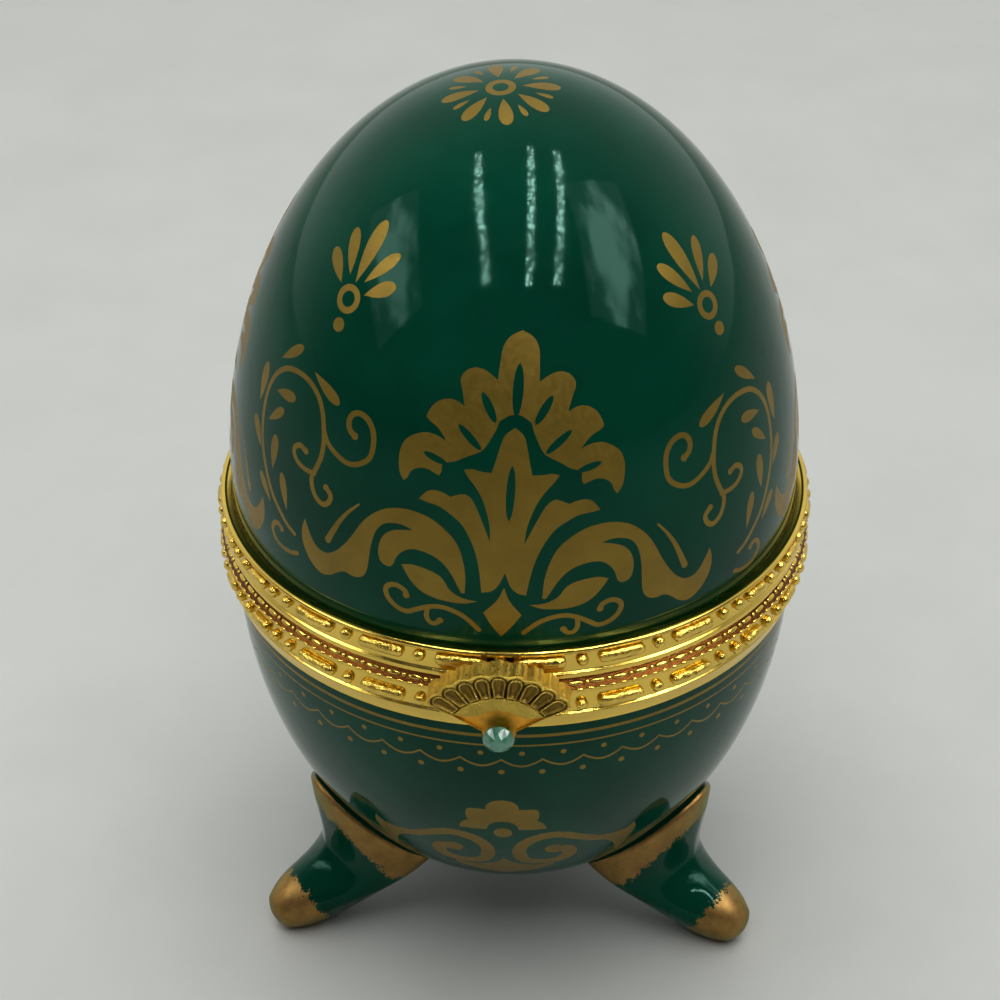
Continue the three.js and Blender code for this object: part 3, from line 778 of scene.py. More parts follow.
class Side:
    """The outside of the lid or bowl, laid out as azimuth and arc length from the rim."""

    def __init__(self, radius, height, fullness, foot, up):
        share = np.sin(np.linspace(0, math.pi / 2, 3001))
        self.radii, self.rises = radius * egg_share(share, fullness), height * share
        steps = np.hypot(np.diff(self.radii), np.diff(self.rises))
        self.arcs = np.concatenate([[0], np.cumsum(steps)])
        self.radius, self.height, self.fullness, self.foot, self.up = radius, height, fullness, foot, up

    def places(self, azimuth, arc):
        rise = np.interp(arc, self.arcs, self.rises)
        return around(azimuth, np.interp(arc, self.arcs, self.radii), self.foot + self.up * rise)

    def normals(self, points):
        """Exact normals at points on the side."""
        out = np.array(points) - (0, AXIS_Y, 0)
        t = np.clip(self.up * (out[:, 2] - self.foot) / self.height, 0, 1)
        k1, k2 = self.fullness
        slope = -2 * t * (1 + k1 * t + k2 * t * t) + (1 - t * t) * (k1 + 2 * k2 * t)
        out[:, :2] *= 2 / self.radius**2
        out[:, 2] = -self.up * slope / self.height
        return out / np.linalg.norm(out, axis=1)[:, None]

    def laid(self, shapes, azimuth, foot, lean, mirror):
        """Shapes of a motif, set on the side as flat places: azimuth times egg radius, and arc length."""
        turn = math.radians(lean)
        out = []
        for shape in shapes:
            x, y = shape[:, 0] * mirror, shape[:, 1]
            x, y = x * math.cos(turn) + y * math.sin(turn), y * math.cos(turn) - x * math.sin(turn) + foot
            y = np.clip(y, 0.15, None)
            turned = math.radians(azimuth) + x / np.interp(y, self.arcs, self.radii)
            out.append(np.stack([self.radius * turned, y], 1))
        return out


def inlay(points, gold, dark):
    """Triangles over flat points, cut along the painted shapes, and whether each is gold."""
    places = [tuple(point) for point in points]
    shapes = []
    for shape in gold + dark:
        ahead = np.roll(shape, -1, axis=0)
        if (shape[:, 0] * ahead[:, 1] - ahead[:, 0] * shape[:, 1]).sum() < 0:
            shape = shape[::-1]
        shapes.append(list(range(len(places), len(places) + len(shape))))
        places += [tuple(point) for point in shape]
    vectors = [Vector((float(x), float(y))) for x, y in places]
    flat, _, faces, _, _, owners = delaunay_2d_cdt(vectors, [], shapes, 0, 1e-5, True)
    painted = [any(k < len(gold) for k in own) and not any(k >= len(gold) for k in own) for own in owners]
    return np.array([tuple(point) for point in flat]), [tuple(face) for face in faces], painted


def painted_shell(name, side, cut, band_gold, band_dark, cap_gold, cap_dark, lip, inside):
    """A closed porcelain shell with its gold painted in the glaze, white inside."""
    across = np.linspace(-math.pi, math.pi, COLUMNS + 1) * side.radius
    rows = np.linspace(0, cut, int(cut / GRID) + 1)
    grid = np.stack(np.meshgrid(across, rows), -1).reshape(-1, 2)
    flat, faces, painted = inlay(grid, band_gold, band_dark)
    vertices = side.places(flat[:, 0] / side.radius, flat[:, 1])
    kinds = [2 if gold else 0 for gold in painted]
    reach = side.arcs[-1] - cut
    rings = [np.zeros((1, 2))]
    for rho in np.linspace(0, reach, int(reach / GRID) + 1)[1:]:
        n = COLUMNS if rho == reach else max(int(COLUMNS * rho / reach / 2), 12)
        turn = -math.pi + np.arange(n) * 2 * math.pi / n
        rings.append(rho * np.stack([np.sin(turn), -np.cos(turn)], 1))
    flat, cap_faces, painted = inlay(np.concatenate(rings), cap_gold, cap_dark)
    rho = np.hypot(flat[:, 0], flat[:, 1])
    cap = side.places(np.arctan2(flat[:, 0], -flat[:, 1]), side.arcs[-1] - rho)
    first = len(vertices)
    vertices = np.concatenate([vertices, cap])
    faces += [tuple(first + v for v in face) for face in cap_faces]
    kinds += [2 if gold else 0 for gold in painted]
    profile = np.concatenate([[(side.radius, side.foot)], lip, inside])
    wall, wall_faces = revolve(profile, COLUMNS, closed=False)
    first = len(vertices)
    vertices = np.concatenate([vertices, np.array(wall)])
    faces += [tuple(first + v for v in face) for face in wall_faces]
    kinds += [0 if min(face) < 2 * COLUMNS else 1 for face in wall_faces]
    coats = (finish("green_glaze"), finish("white_glaze"), finish("gold_transfer"))
    obj = new_object(name, vertices, faces, coats, kinds)
    work = bmesh.new()
    work.from_mesh(obj.data)
    bmesh.ops.remove_doubles(work, verts=work.verts, dist=2e-6)
    bmesh.ops.dissolve_degenerate(work, edges=work.edges, dist=1e-7)
    bmesh.ops.recalc_face_normals(work, faces=work.faces)
    work.to_mesh(obj.data)
    work.free()
    exact_normals(obj.data, side)
    return obj


def exact_normals(mesh, side):
    """Gives the outside its exact normals, so reflections don't show the triangles."""
    normals = np.zeros(len(mesh.loops) * 3, np.float32)
    mesh.corner_normals.foreach_get("vector", normals)
    normals = normals.reshape(-1, 3)
    corner_vertex = np.zeros(len(mesh.loops), np.int32)
    mesh.loops.foreach_get("vertex_index", corner_vertex)
    places = np.zeros(len(mesh.vertices) * 3, np.float32)
    mesh.vertices.foreach_get("co", places)
    places = places.reshape(-1, 3) / MM
    kinds = np.zeros(len(mesh.polygons), np.int32)
    mesh.polygons.foreach_get("material_index", kinds)
    totals = np.zeros(len(mesh.polygons), np.int32)
    mesh.polygons.foreach_get("loop_total", totals)
    beyond = side.up * (places[corner_vertex][:, 2] - side.foot) > -1e-3
    outer = (np.repeat(kinds, totals) != 1) & beyond
    normals[outer] = side.normals(places[corner_vertex[outer]])
    mesh.normals_split_custom_set(normals.tolist())


# Porcelain

# Arc length from the rim to where the bowl's grid ends, and from the apex to where the lid's does
BOWL_CUT, LID_CAP = 40.0, 9.6


def bowl_radius_at(height):
    egg = sizes().egg
    share = np.clip((egg.belly + egg.bowl_depth - np.asarray(height, float)) / egg.bowl_depth, 0, 1)
    return egg.radius * egg_share(share, BOWL_FULLNESS)


# Each foot's line bends at one and two thirds of its way: outward and upward shifts, and the sides' spread and pull
INSTEP_SAG = ((-1.7, -4.4), (-6.5, -3.8))
SOLE_SAG = ((0, -1.4), (0, -1.4))
SIDE_SPREAD = (1.3, 1.0)
SIDE_PULL = (0.85, 3.3)


def pad_edge(side, upper, inset=0.0):
    """A point on a pad's arched top edge, or on the line where the sole meets the bowl."""
    foot = sizes().foot
    if upper:
        height = foot.pad_top - (foot.pad_top - foot.pad_corner) * abs(side) ** 1.6
        radius = bowl_radius_at(height) + foot.pad_proud
    else:
        height = foot.sole_root + (foot.pad_corner - foot.sole_root) * side * side
        radius = bowl_radius_at(height) + foot.pad_proud * abs(side)
    turn = side * foot.pad_half_angle
    return np.array([(radius - inset) * math.sin(turn), -(radius - inset) * math.cos(turn), height])


def ankle_point(side, upper):
    foot = sizes().foot
    turn = math.pi / 2 * side
    up = (1 if upper else -1) * foot.ankle_radius * math.cos(turn)
    return np.array([
        foot.ankle_radius * math.sin(turn),
        -(foot.ankle_reach + up * math.sin(foot.ankle_pitch)),
        foot.ankle_height + up * math.cos(foot.ankle_pitch),
    ])


def foot_line(side, upper, steps):
    start, end = pad_edge(side, upper), ankle_point(side, upper)
    middle, edge = 1 - side * side, abs(side)
    bends = []
    for third in (0, 1):
        outwards, upwards = (INSTEP_SAG if upper else SOLE_SAG)[third]
        shift = (SIDE_SPREAD[third] * side * edge, SIDE_PULL[third] * edge - outwards * middle, upwards * middle)
        bends.append(start + (end - start) * (third + 1) / 3 + np.array(shift))
    t = np.linspace(0, 1, steps + 1)[:, None] ** 1.6
    return (1 - t) ** 3 * start + 3 * (1 - t) ** 2 * t * bends[0] + 3 * (1 - t) * t * t * bends[1] + t**3 * end


# The gold edge's value on the soles, in the bowl's wall and at the toes' tips: gold is above 0
SOLE_EDGE, ROOT_EDGE, TIP_EDGE = -3.0, -4.0, 3.0


def foot_mesh(azimuth):
    """One foot as a closed skin from inside the bowl's wall to the toe's tip, with its gold edges marked."""
    foot = sizes().foot
    across, rows, tip_rows = 44, 56, 20
    sides = [(side, True) for side in np.linspace(-1, 1, across + 1)]
    sides += [(side, False) for side in np.linspace(1, -1, across + 1)[1:-1]]
    root = np.array([pad_edge(side, upper, foot.pad_proud + 1.4) for side, upper in sides])
    lines = np.array([foot_line(side, upper, rows) for side, upper in sides])
    ring = lines[:, -1]
    middle = np.array([0, -foot.ankle_reach, foot.ankle_height])
    axis = np.array([0, -math.cos(foot.ankle_pitch), -math.sin(foot.ankle_pitch)])
    stretch = (foot.toe_reach - foot.ankle_reach) / math.cos(foot.ankle_pitch) * 0.98
    tip = []
    for k in range(1, tip_rows):
        turn = math.pi / 2 * k / tip_rows
        tip.append(middle + (ring - middle) * math.cos(turn) + axis * stretch * math.sin(turn))
    skin = np.concatenate([lines.transpose(1, 0, 2), np.array(tip)])
    ankle = rows
    for _ in range(60):
        window = slice(ankle - 16, ankle + 12)
        ahead, behind = skin[ankle - 15 : ankle + 13], skin[ankle - 17 : ankle + 11]
        skin[window] = 0.5 * skin[window] + 0.25 * (ahead + behind)
    first_run = np.linalg.norm(skin[:1] - skin[:12], axis=2)
    short = np.maximum(foot.edge_round - first_run, 0)
    shy = foot.edge_round - np.sqrt(np.maximum(foot.edge_round**2 - short**2, 0))
    to_axis = -skin[0] * (1, 1, 0)
    to_axis /= np.linalg.norm(to_axis, axis=1)[:, None]
    over = np.array([1.0 if up else abs(side) ** 4 for side, up in sides])
    skin[:12] += to_axis[None] * (shy * over)[:, :, None]
    steps = np.linalg.norm(np.diff(skin, axis=0), axis=2)
    run = np.concatenate([[np.zeros(len(sides))], np.cumsum(steps, axis=0)])
    upper = np.array([up for _, up in sides])
    band = np.minimum(foot.band_width - run, (run - 0.2) * 9)
    band = np.where(upper, band, SOLE_EDGE)
    toe = np.array([[foot_gold_reach(p) for p in row] for row in skin])
    gold = np.maximum(band, toe)
    vertices = np.concatenate([root[None], skin]).reshape(-1, 3)
    edge = np.concatenate([np.full(len(sides), ROOT_EDGE), gold.reshape(-1)])
    n = len(sides)
    faces = []
    total = len(vertices) // n
    for row in range(total - 1):
        for i in range(n):
            j = (i + 1) % n
            faces.append((row * n + i, (row + 1) * n + i, (row + 1) * n + j, row * n + j))
    vertices = np.concatenate([vertices, [root.mean(0), middle + axis * stretch]])
    edge = np.concatenate([edge, [ROOT_EDGE, TIP_EDGE]])
    root_middle, tip_end = len(vertices) - 2, len(vertices) - 1
    last = (total - 1) * n
    for i in range(n):
        j = (i + 1) % n
        faces.append((root_middle, i, j))
        faces.append((tip_end, last + j, last + i))
    vertices[:, 2] = np.maximum(vertices[:, 2] - 0.14 * np.clip(1 - vertices[:, 2] / 12, 0, 1), 0)
    x = vertices[:, 0] * math.cos(azimuth) - vertices[:, 1] * math.sin(azimuth)
    y = vertices[:, 0] * math.sin(azimuth) + vertices[:, 1] * math.cos(azimuth)
    return np.stack([x, y + AXIS_Y, vertices[:, 2]], 1), faces, edge


def foot_gold_reach(point):
    """How far a point lies inside the toe's gold tip, in millimetres."""
    foot = sizes().foot
    outwards = -point[1]
    return (outwards - foot.ankle_reach + 0.7) * 0.85 - (point[2] - foot.ankle_height) * 0.5


def bead_places():
    """Azimuths of the beads, and of the ends of the bars, from the clasp, in radians."""
    rim = sizes().rim
    pitch, pair = rim.bead_pitch, rim.pair_spacing
    singles, spans = 2, 18
    long_gap, short_gap = math.radians(3.0), math.radians(2.35)
    beads = [k * pitch for k in range(-singles, singles + 1)]
    bars = [(k * pitch + long_gap, (k + 1) * pitch - long_gap) for k in range(-singles - 1, singles + 1)]
    first = pitch * (singles + 1)
    step = (2 * math.pi - 2 * first - pair) / spans
    for k in range(spans + 1):
        start = first + k * step
        beads += [start, start + pair]
        if k < spans:
            bars.append((start + pair + short_gap, start + step - short_gap))
    return beads, bars


class EGG_OT_porcelain_bowl(bpy.types.Operator):
    """Make the porcelain bowl with its three feet"""

    bl_idname = "egg.porcelain_bowl"
    bl_label = "Porcelain Bowl"

    def execute(self, context):
        egg = sizes().egg
        side = Side(egg.radius, egg.bowl_depth, BOWL_FULLNESS, egg.belly + egg.bowl_depth, -1)
        edge = SEAM - 1.05
        inner = egg_side(egg.radius - egg.wall, egg.bowl_depth - egg.wall, BOWL_FULLNESS, 48)
        inside = (0, side.foot) - inner * (-1, 1)
        lip = [(egg.radius, edge), (egg.radius - egg.wall, edge)]
        gold = bowl_border(side)
        motif = bowl_motif()
        for k in range(3):
            gold += side.laid(motif, 120 * k - 120, 0, 0, 1)
        parts = [painted_shell("bowl_shell", side, BOWL_CUT, gold, [], [], [], lip, inside)]
        for k in range(3):
            vertices, faces, edge_values = foot_mesh(math.pi + k * 2 * math.pi / 3)
            leg = new_object("foot", vertices, faces, (finish("brushed_gold"),))
            marks = leg.data.attributes.new("gold_edge", "FLOAT", "POINT")
            marks.data.foreach_set("value", edge_values.astype(np.float32))
            parts.append(outward(leg))
        bowl = join("porcelain_bowl", parts)
        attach(bowl, "base")
        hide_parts("bowl_with_feet")
        return {"FINISHED"}


class EGG_OT_porcelain_lid(bpy.types.Operator):
    """Make the porcelain lid with its gold ornament"""

    bl_idname = "egg.porcelain_lid"
    bl_label = "Porcelain Lid"

    def execute(self, context):
        egg = sizes().egg
        side = Side(egg.radius, egg.lid_height, LID_FULLNESS, DOME_HIGH.z - egg.lid_height, 1)
        inside = egg_side(egg.radius - egg.wall, egg.lid_height - egg.wall, LID_FULLNESS, 48) + (0, side.foot)
        lip = [(egg.radius, DOME_LOW.z), (egg.radius - egg.wall, DOME_LOW.z)]
        gold, dark = [], []
        for makes, layout in ((palmette, PALMETTES), (vine, VINES), (sprig, SPRIGS)):
            painted, bare = makes()
            for place in layout:
                gold += side.laid(painted, *place)
                dark += side.laid(bare, *place)
        cut = side.arcs[-1] - LID_CAP
        lid = painted_shell("porcelain_lid", side, cut, gold, dark, *rosette(), lip, inside)
        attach(lid, "lid")
        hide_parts("lid_dome")
        return {"FINISHED"}


# The rims, in millimetres: how far the milled edge stands out, and the rows of beads above each rim's foot
MILLED_PROUD = 0.32
BOWL_ROW, LID_ROW = 3.4, 2.7
HINGE_CLEAR = math.radians(12)
KNUCKLE_RADIUS, PIN_BORE, PIN_RADIUS = 1.15, 0.62, 0.5


def lid_rim_profile():
    """Section of the lid's rim, from its inner foot round the outside."""
    rim, egg = sizes().rim, sizes().egg
    band, foot, top = rim.band_radius, SEAM + SEAM_GAP, LID_RIM_TOP
    seat, back = egg.radius + RIM_SEAT, egg.radius - egg.wall - RIM_SEAT
    inner = back - 0.8
    low_field = band - rim.field_depth
    points = [
        (inner, foot), (band - 0.25, foot), (band, foot + 0.3), (band, foot + 0.85), (low_field, foot + 1.1),
        (low_field, top - 0.85), (band, top - 0.7), (band, top - 0.62), (band + 0.16, top - 0.34),
        (band - 0.05, top - 0.05), (band - 0.42, top - 0.02), (band - 0.62, top - 0.2), (seat, top - 0.28),
        (seat, foot + 0.9), (back, foot + 0.9), (back, foot + 3.1), (inner, foot + 3.1),
    ]
    radii = [0.1, 0.12, 0.12, 0.08, 0.08, 0.08, 0.05, 0.05, 0.12, 0.12, 0.1, 0.1, 0.05, 0.02, 0.02, 0.1, 0.1]
    return rounded(points, radii)


def bowl_rim_profile():
    """Section of the bowl's rim: bevelled top, milled edge, plain band and skirt."""
    rim, egg = sizes().rim, sizes().egg
    band, foot, top = rim.band_radius, BOWL_TOP, SEAM
    seat, back = egg.radius + RIM_SEAT, egg.radius - egg.wall - RIM_SEAT
    inner = back - 0.8
    milled = band + MILLED_PROUD
    low_field = band - rim.field_depth
    points = [
        (inner, top), (milled - 1.1, top), (milled, top - 1.2), (milled, top - 1.5), (band, top - 1.72),
        (band, top - 1.85), (low_field, top - 2.05), (low_field, foot + 2.35), (band, foot + 2.1),
        (band, foot + 1.9), (band - 0.3, foot + 1.75), (band - 0.75, foot + 0.35), (band - 0.75, foot), (seat, foot),
        (seat, top - 0.9), (back, top - 0.9), (back, top - 3.1), (inner, top - 3.1),
    ]
    radii = [0.1, 0.08, 0.06, 0.06, 0.06, 0.08, 0.08, 0.08, 0.08, 0.12, 0.1, 0.12, 0.08, 0.05, 0.02, 0.02, 0.1, 0.1]
    return rounded(points, radii)


# Node trees for what repeats along the rims


def ring_tree(name, sockets):
    """A new node tree with named inputs, and its group input and output nodes."""
    tree = bpy.data.node_groups.new(name, "GeometryNodeTree")
    tree.interface.new_socket("Geometry", in_out="INPUT", socket_type="NodeSocketGeometry")
    for label, kind, value in sockets:
        socket = tree.interface.new_socket(label, in_out="INPUT", socket_type=kind)
        if value is not None:
            socket.default_value = value
    tree.interface.new_socket("Geometry", in_out="OUTPUT", socket_type="NodeSocketGeometry")
    return tree, tree.nodes.new("NodeGroupInput"), tree.nodes.new("NodeGroupOutput")


def finish_tree(tree, given, out, geometry):
    real = add(tree, "GeometryNodeRealizeInstances", {"Geometry": geometry})
    smooth = add(tree, "GeometryNodeSetShadeSmooth", {"Geometry": real.outputs[0]})
    coat = add(tree, "GeometryNodeSetMaterial", {"Geometry": smooth.outputs[0], "Material": given.outputs["Material"]})
    tree.links.new(coat.outputs[0], out.inputs[0])
    return tree


def studs_tree():
    """Small domes on points, turned by each point's own turn and tilt."""
    name = "Studs"
    if name in bpy.data.node_groups:
        return bpy.data.node_groups[name]
    tree, given, out = ring_tree(name, [
        ("Length", "NodeSocketFloat", 0.001), ("Height", "NodeSocketFloat", 0.001),
        ("Depth", "NodeSocketFloat", 0.001), ("Fineness", "NodeSocketInt", 3), ("Material", "NodeSocketMaterial", None),
    ])
    ball = add(tree, "GeometryNodeMeshIcoSphere", {"Radius": 1.0, "Subdivisions": given.outputs["Fineness"]})
    turn = add(tree, "GeometryNodeInputNamedAttribute", {"Name": "turn"}, data_type="FLOAT_VECTOR")
    lengths = {"X": given.outputs["Length"], "Y": given.outputs["Depth"], "Z": given.outputs["Height"]}
    size = add(tree, "ShaderNodeCombineXYZ", lengths)
    placed = add(tree, "GeometryNodeInstanceOnPoints", {
        "Points": given.outputs["Geometry"], "Instance": ball.outputs["Mesh"],
        "Rotation": turn.outputs["Attribute"], "Scale": size.outputs[0],
    })
    return finish_tree(tree, given, out, placed.outputs[0])


def bars_tree():
    """Rounded bars along short arcs."""
    name = "Bars"
    if name in bpy.data.node_groups:
        return bpy.data.node_groups[name]
    tree, given, out = ring_tree(name, [
        ("Half Height", "NodeSocketFloat", 0.001), ("Proud", "NodeSocketFloat", 0.001),
        ("Material", "NodeSocketMaterial", None),
    ])
    path = add(tree, "GeometryNodeMeshToCurve", {"Mesh": given.outputs["Geometry"]})
    swell = add(tree, "GeometryNodeInputNamedAttribute", {"Name": "swell"}, data_type="FLOAT")
    upright = add(tree, "GeometryNodeSetCurveNormal", {"Curve": path.outputs[0]}, mode="Z_UP")
    ring = add(tree, "GeometryNodeCurvePrimitiveCircle", {"Resolution": 16, "Radius": 1.0})
    size = add(tree, "ShaderNodeCombineXYZ", {"X": given.outputs["Proud"], "Y": given.outputs["Half Height"], "Z": 1.0})
    section = add(tree, "GeometryNodeTransform", {"Geometry": ring.outputs[0], "Scale": size.outputs[0]})
    rod = add(tree, "GeometryNodeCurveToMesh", {
        "Curve": upright.outputs[0], "Profile Curve": section.outputs[0],
        "Scale": swell.outputs["Attribute"], "Fill Caps": True,
    })
    return finish_tree(tree, given, out, rod.outputs[0])


def with_tree(name, obj, tree, values):
    """Runs a node tree on an object and returns the result as a plain mesh."""
    modifier = obj.modifiers.new(name, "NODES")
    modifier.node_group = tree
    for item in tree.interface.items_tree:
        if item.item_type == "SOCKET" and item.in_out == "INPUT" and item.name in values:
            modifier[item.identifier] = values[item.name]
    return plain(obj)


def studs(name, places, long, height, depth, material, fineness=3):
    """Studs at places, each a point in millimetres with its turn in radians."""
    points = np.array([place for place, _ in places])
    obj = new_object(name, points, [])
    turns = obj.data.attributes.new("turn", "FLOAT_VECTOR", "POINT")
    turns.data.foreach_set("vector", np.array([turn for _, turn in places], np.float32).reshape(-1))
    values = {"Length": long * MM, "Height": height * MM, "Depth": depth * MM}
    values |= {"Fineness": fineness, "Material": material}
    return with_tree(name, obj, studs_tree(), values)


def bars(name, spans, radius, height, half_height, proud, material):
    """Bars along arcs about the egg's axis, with round ends."""
    vertices, edges, swell = [], [], []
    for start, end in spans:
        size = (end - start) * radius
        tip = 0.9 * half_height
        near = tip * (1 - np.cos(np.linspace(0.12, 1, 6) * math.pi / 2))
        run = np.concatenate([near, np.arange(tip + 0.6, size - tip - 0.3, 0.6), size - near[::-1]])
        inset = np.minimum(np.minimum(run, size - run) / tip, 1)
        swell += np.sqrt(1 - (1 - inset) ** 2).tolist()
        first = len(vertices)
        vertices += around(start + run / radius, radius, height).tolist()
        edges += [(first + i, first + i + 1) for i in range(len(run) - 1)]
    obj = new_object(name, vertices, [], edges=edges)
    obj.data.attributes.new("swell", "FLOAT", "POINT").data.foreach_set("value", swell)
    values = {"Half Height": half_height * MM, "Proud": proud * MM, "Material": material}
    return with_tree(name, obj, bars_tree(), values)


def rim_ornament(name, height):
    """Beads and bars of one rim, left out at the hinge."""
    rim = sizes().rim
    beads, spans = bead_places()
    reach = rim.band_radius - 0.08
    places = [(around(a, reach, height), (0, 0, a)) for a in beads if abs(a % (2 * math.pi) - math.pi) > HINGE_CLEAR]
    cast = finish("cast_gilt")
    beads_obj = studs(name + "_beads", places, rim.bead_radius, rim.bead_radius, 0.64, cast)
    kept = [span for span in spans if abs(sum(span) / 2 % (2 * math.pi) - math.pi) > HINGE_CLEAR]
    bars_obj = bars(name + "_bars", kept, rim.band_radius - 0.06, height, rim.bar_half_height, rim.bar_proud, cast)
    return [beads_obj, bars_obj]


def knuckles(name, spans, side):
    """Hinge knuckles with their leaves, along X behind the rims."""
    rim = sizes().rim
    y, z, radius = PIN_Y, PIN_Z, KNUCKLE_RADIUS
    parts = []
    for low, high in spans:
        turn = np.linspace(0, 2 * math.pi, 40, endpoint=False)
        vertices = []
        steps = [(low, PIN_BORE), (low, radius - 0.1), (low + 0.1, radius)]
        steps += [(high - 0.1, radius), (high, radius - 0.1), (high, PIN_BORE)]
        for x, r in steps:
            vertices += [(x, y + r * math.cos(a), z + r * math.sin(a)) for a in turn]
        faces = ring_faces(len(turn), len(steps), closed=True)
        parts.append(outward(new_object(name, vertices, faces, (finish("gilt"),), sharp=40)))
        leaf_low, leaf_high = sorted((z + side * 0.35, z + side * 1.12))
        root = AXIS_Y + rim.band_radius - 0.4
        parts.append(block(name, (low + 0.03, high - 0.03), (root, y), (leaf_low, leaf_high)))
    return parts


class EGG_OT_bowl_rim(bpy.types.Operator):
    """Make the bowl's gilt rim with its milled edge, beads and bars"""

    bl_idname = "egg.bowl_rim"
    bl_label = "Bowl Rim"

    def execute(self, context):
        rim = sizes().rim
        vertices, faces = revolve(bowl_rim_profile(), 360)
        middles = np.array([np.mean([vertices[corner] for corner in face], axis=0) for face in faces])
        reach = np.hypot(middles[:, 0], middles[:, 1] - AXIS_Y)
        # The bevel's faces get the shaded gilt, a painted dark reflection.
        on_bevel = (reach > rim.band_radius - 0.75) & (middles[:, 2] > SEAM - 1.22)
        coats = (finish("gilt"), finish("shaded_gilt"))
        band = new_object("bowl_rim_band", vertices, faces, coats, on_bevel.astype(int).tolist(), sharp=50)
        parts = [weighted(outward(band))]
        parts += rim_ornament("bowl_rim", BOWL_TOP + BOWL_ROW)
        milled = rim.band_radius + 0.2
        turns = np.arange(rim.milled_count) * 2 * math.pi / rim.milled_count
        places = [(around(a, milled, SEAM - 1.36), (0, 0, a)) for a in turns]
        parts.append(studs("bowl_rim_milling", places, 0.52, 0.3, 0.28, finish("gilt"), 2))
        turns = (np.arange(rim.oval_count) + 0.5) * 2 * math.pi / rim.oval_count
        tilt = math.atan2(1.2, 1.1)
        middle_radius, middle_height = rim.band_radius + MILLED_PROUD - 0.5, SEAM - 0.55
        places = [(around(a, middle_radius, middle_height), (-tilt, 0, a)) for a in turns[::2]]
        parts.append(studs("bowl_rim_ovals", places, 0.95, 0.33, 0.16, finish("gilt"), 2))
        places = [(around(a, middle_radius, middle_height), (-tilt, 0, a)) for a in turns[1::2]]
        parts.append(studs("bowl_rim_dots", places, 0.3, 0.3, 0.16, finish("gilt"), 2))
        outer = [(2.65, 6.65), (-6.65, -2.65)]
        parts += knuckles("bowl_rim_knuckle", outer, -1)
        whole = join("bowl_rim_metal", parts)
        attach(whole, "base")
        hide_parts("bowl_rim")
        return {"FINISHED"}


class EGG_OT_lid_rim(bpy.types.Operator):
    """Make the lid's gilt rim with its ledge, beads and bars"""

    bl_idname = "egg.lid_rim"
    bl_label = "Lid Rim"

    def execute(self, context):
        vertices, faces = revolve(lid_rim_profile(), 360)
        parts = [weighted(outward(new_object("lid_rim_band", vertices, faces, (finish("gilt"),), sharp=50)))]
        parts += rim_ornament("lid_rim", SEAM + SEAM_GAP + LID_ROW)
        parts += knuckles("lid_rim_knuckle", [(-2.5, 2.5)], 1)
        whole = join("lid_rim_metal", parts)
        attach(whole, "lid")
        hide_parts("lid_rim")
        return {"FINISHED"}


class EGG_OT_hinge_pin(bpy.types.Operator):
    """Make the hinge's pin"""

    bl_idname = "egg.hinge_pin"
    bl_label = "Hinge Pin"

    def execute(self, context):
        low, high, radius = PIN_LOW.x, PIN_HIGH.x, PIN_RADIUS
        steps = [(low, radius - 0.12), (low + 0.06, radius), (high - 0.06, radius), (high, radius - 0.12)]
        turn = np.linspace(0, 2 * math.pi, 32, endpoint=False)
        vertices = [(low, PIN_Y, PIN_Z)]
        for x, r in steps:
            vertices += [(x, PIN_Y + r * math.cos(a), PIN_Z + r * math.sin(a)) for a in turn]
        vertices.append((high, PIN_Y, PIN_Z))
        n = len(turn)
        faces = ring_faces(n, len(steps), 1) + end_faces(n, 1, 0) + end_faces(n, 1 + 3 * n, len(vertices) - 1)
        pin = outward(new_object("hinge_pin_metal", vertices, faces, (finish("gilt"),), sharp=35))
        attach(pin, "base")
        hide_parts("hinge_pin")
        return {"FINISHED"}


# Fan clasp

FAN_HALF_WIDTH = 10.1
FAN_HEIGHT = 9.0
FAN_HALF_ANGLE = math.radians(58.5)
FAN_FLUTES = 9
FAN_THICKNESS = 2.9
HUB_RADIUS = 2.0
HUB_ANGLE = math.radians(78)
HOLLOW = ((0, 3.7), (1.1, 3.5), (2.2, 2.95), (3.5, 2.6), (5.4, 2.85), (7, 3.1))


def fan_outline(points=22):
    """The fan's outline as across and up points, one way round from the left tip."""
    out = []
    steps = FAN_FLUTES * points
    for k in range(steps + 1):
        turn = -FAN_HALF_ANGLE + 2 * FAN_HALF_ANGLE * k / steps
        inset = 0.35 * (2 * ((k % points) / points) - 1) ** 2
        out.append(((FAN_HALF_WIDTH - inset) * math.sin(turn), (FAN_HEIGHT - inset) * math.cos(turn)))
    right, hub = np.array(out[-1]), HUB_RADIUS * np.array([math.sin(HUB_ANGLE), math.cos(HUB_ANGLE)])
    side = [right + (hub - right) * k / 30 for k in range(1, 30)]
    angles = np.linspace(HUB_ANGLE, 2 * math.pi - HUB_ANGLE, 40)
    hub_arc = [(HUB_RADIUS * math.sin(a), HUB_RADIUS * math.cos(a)) for a in angles]
    back = [(-x, y) for x, y in side[::-1]]
    return np.array(out + [tuple(p) for p in side] + hub_arc + back)


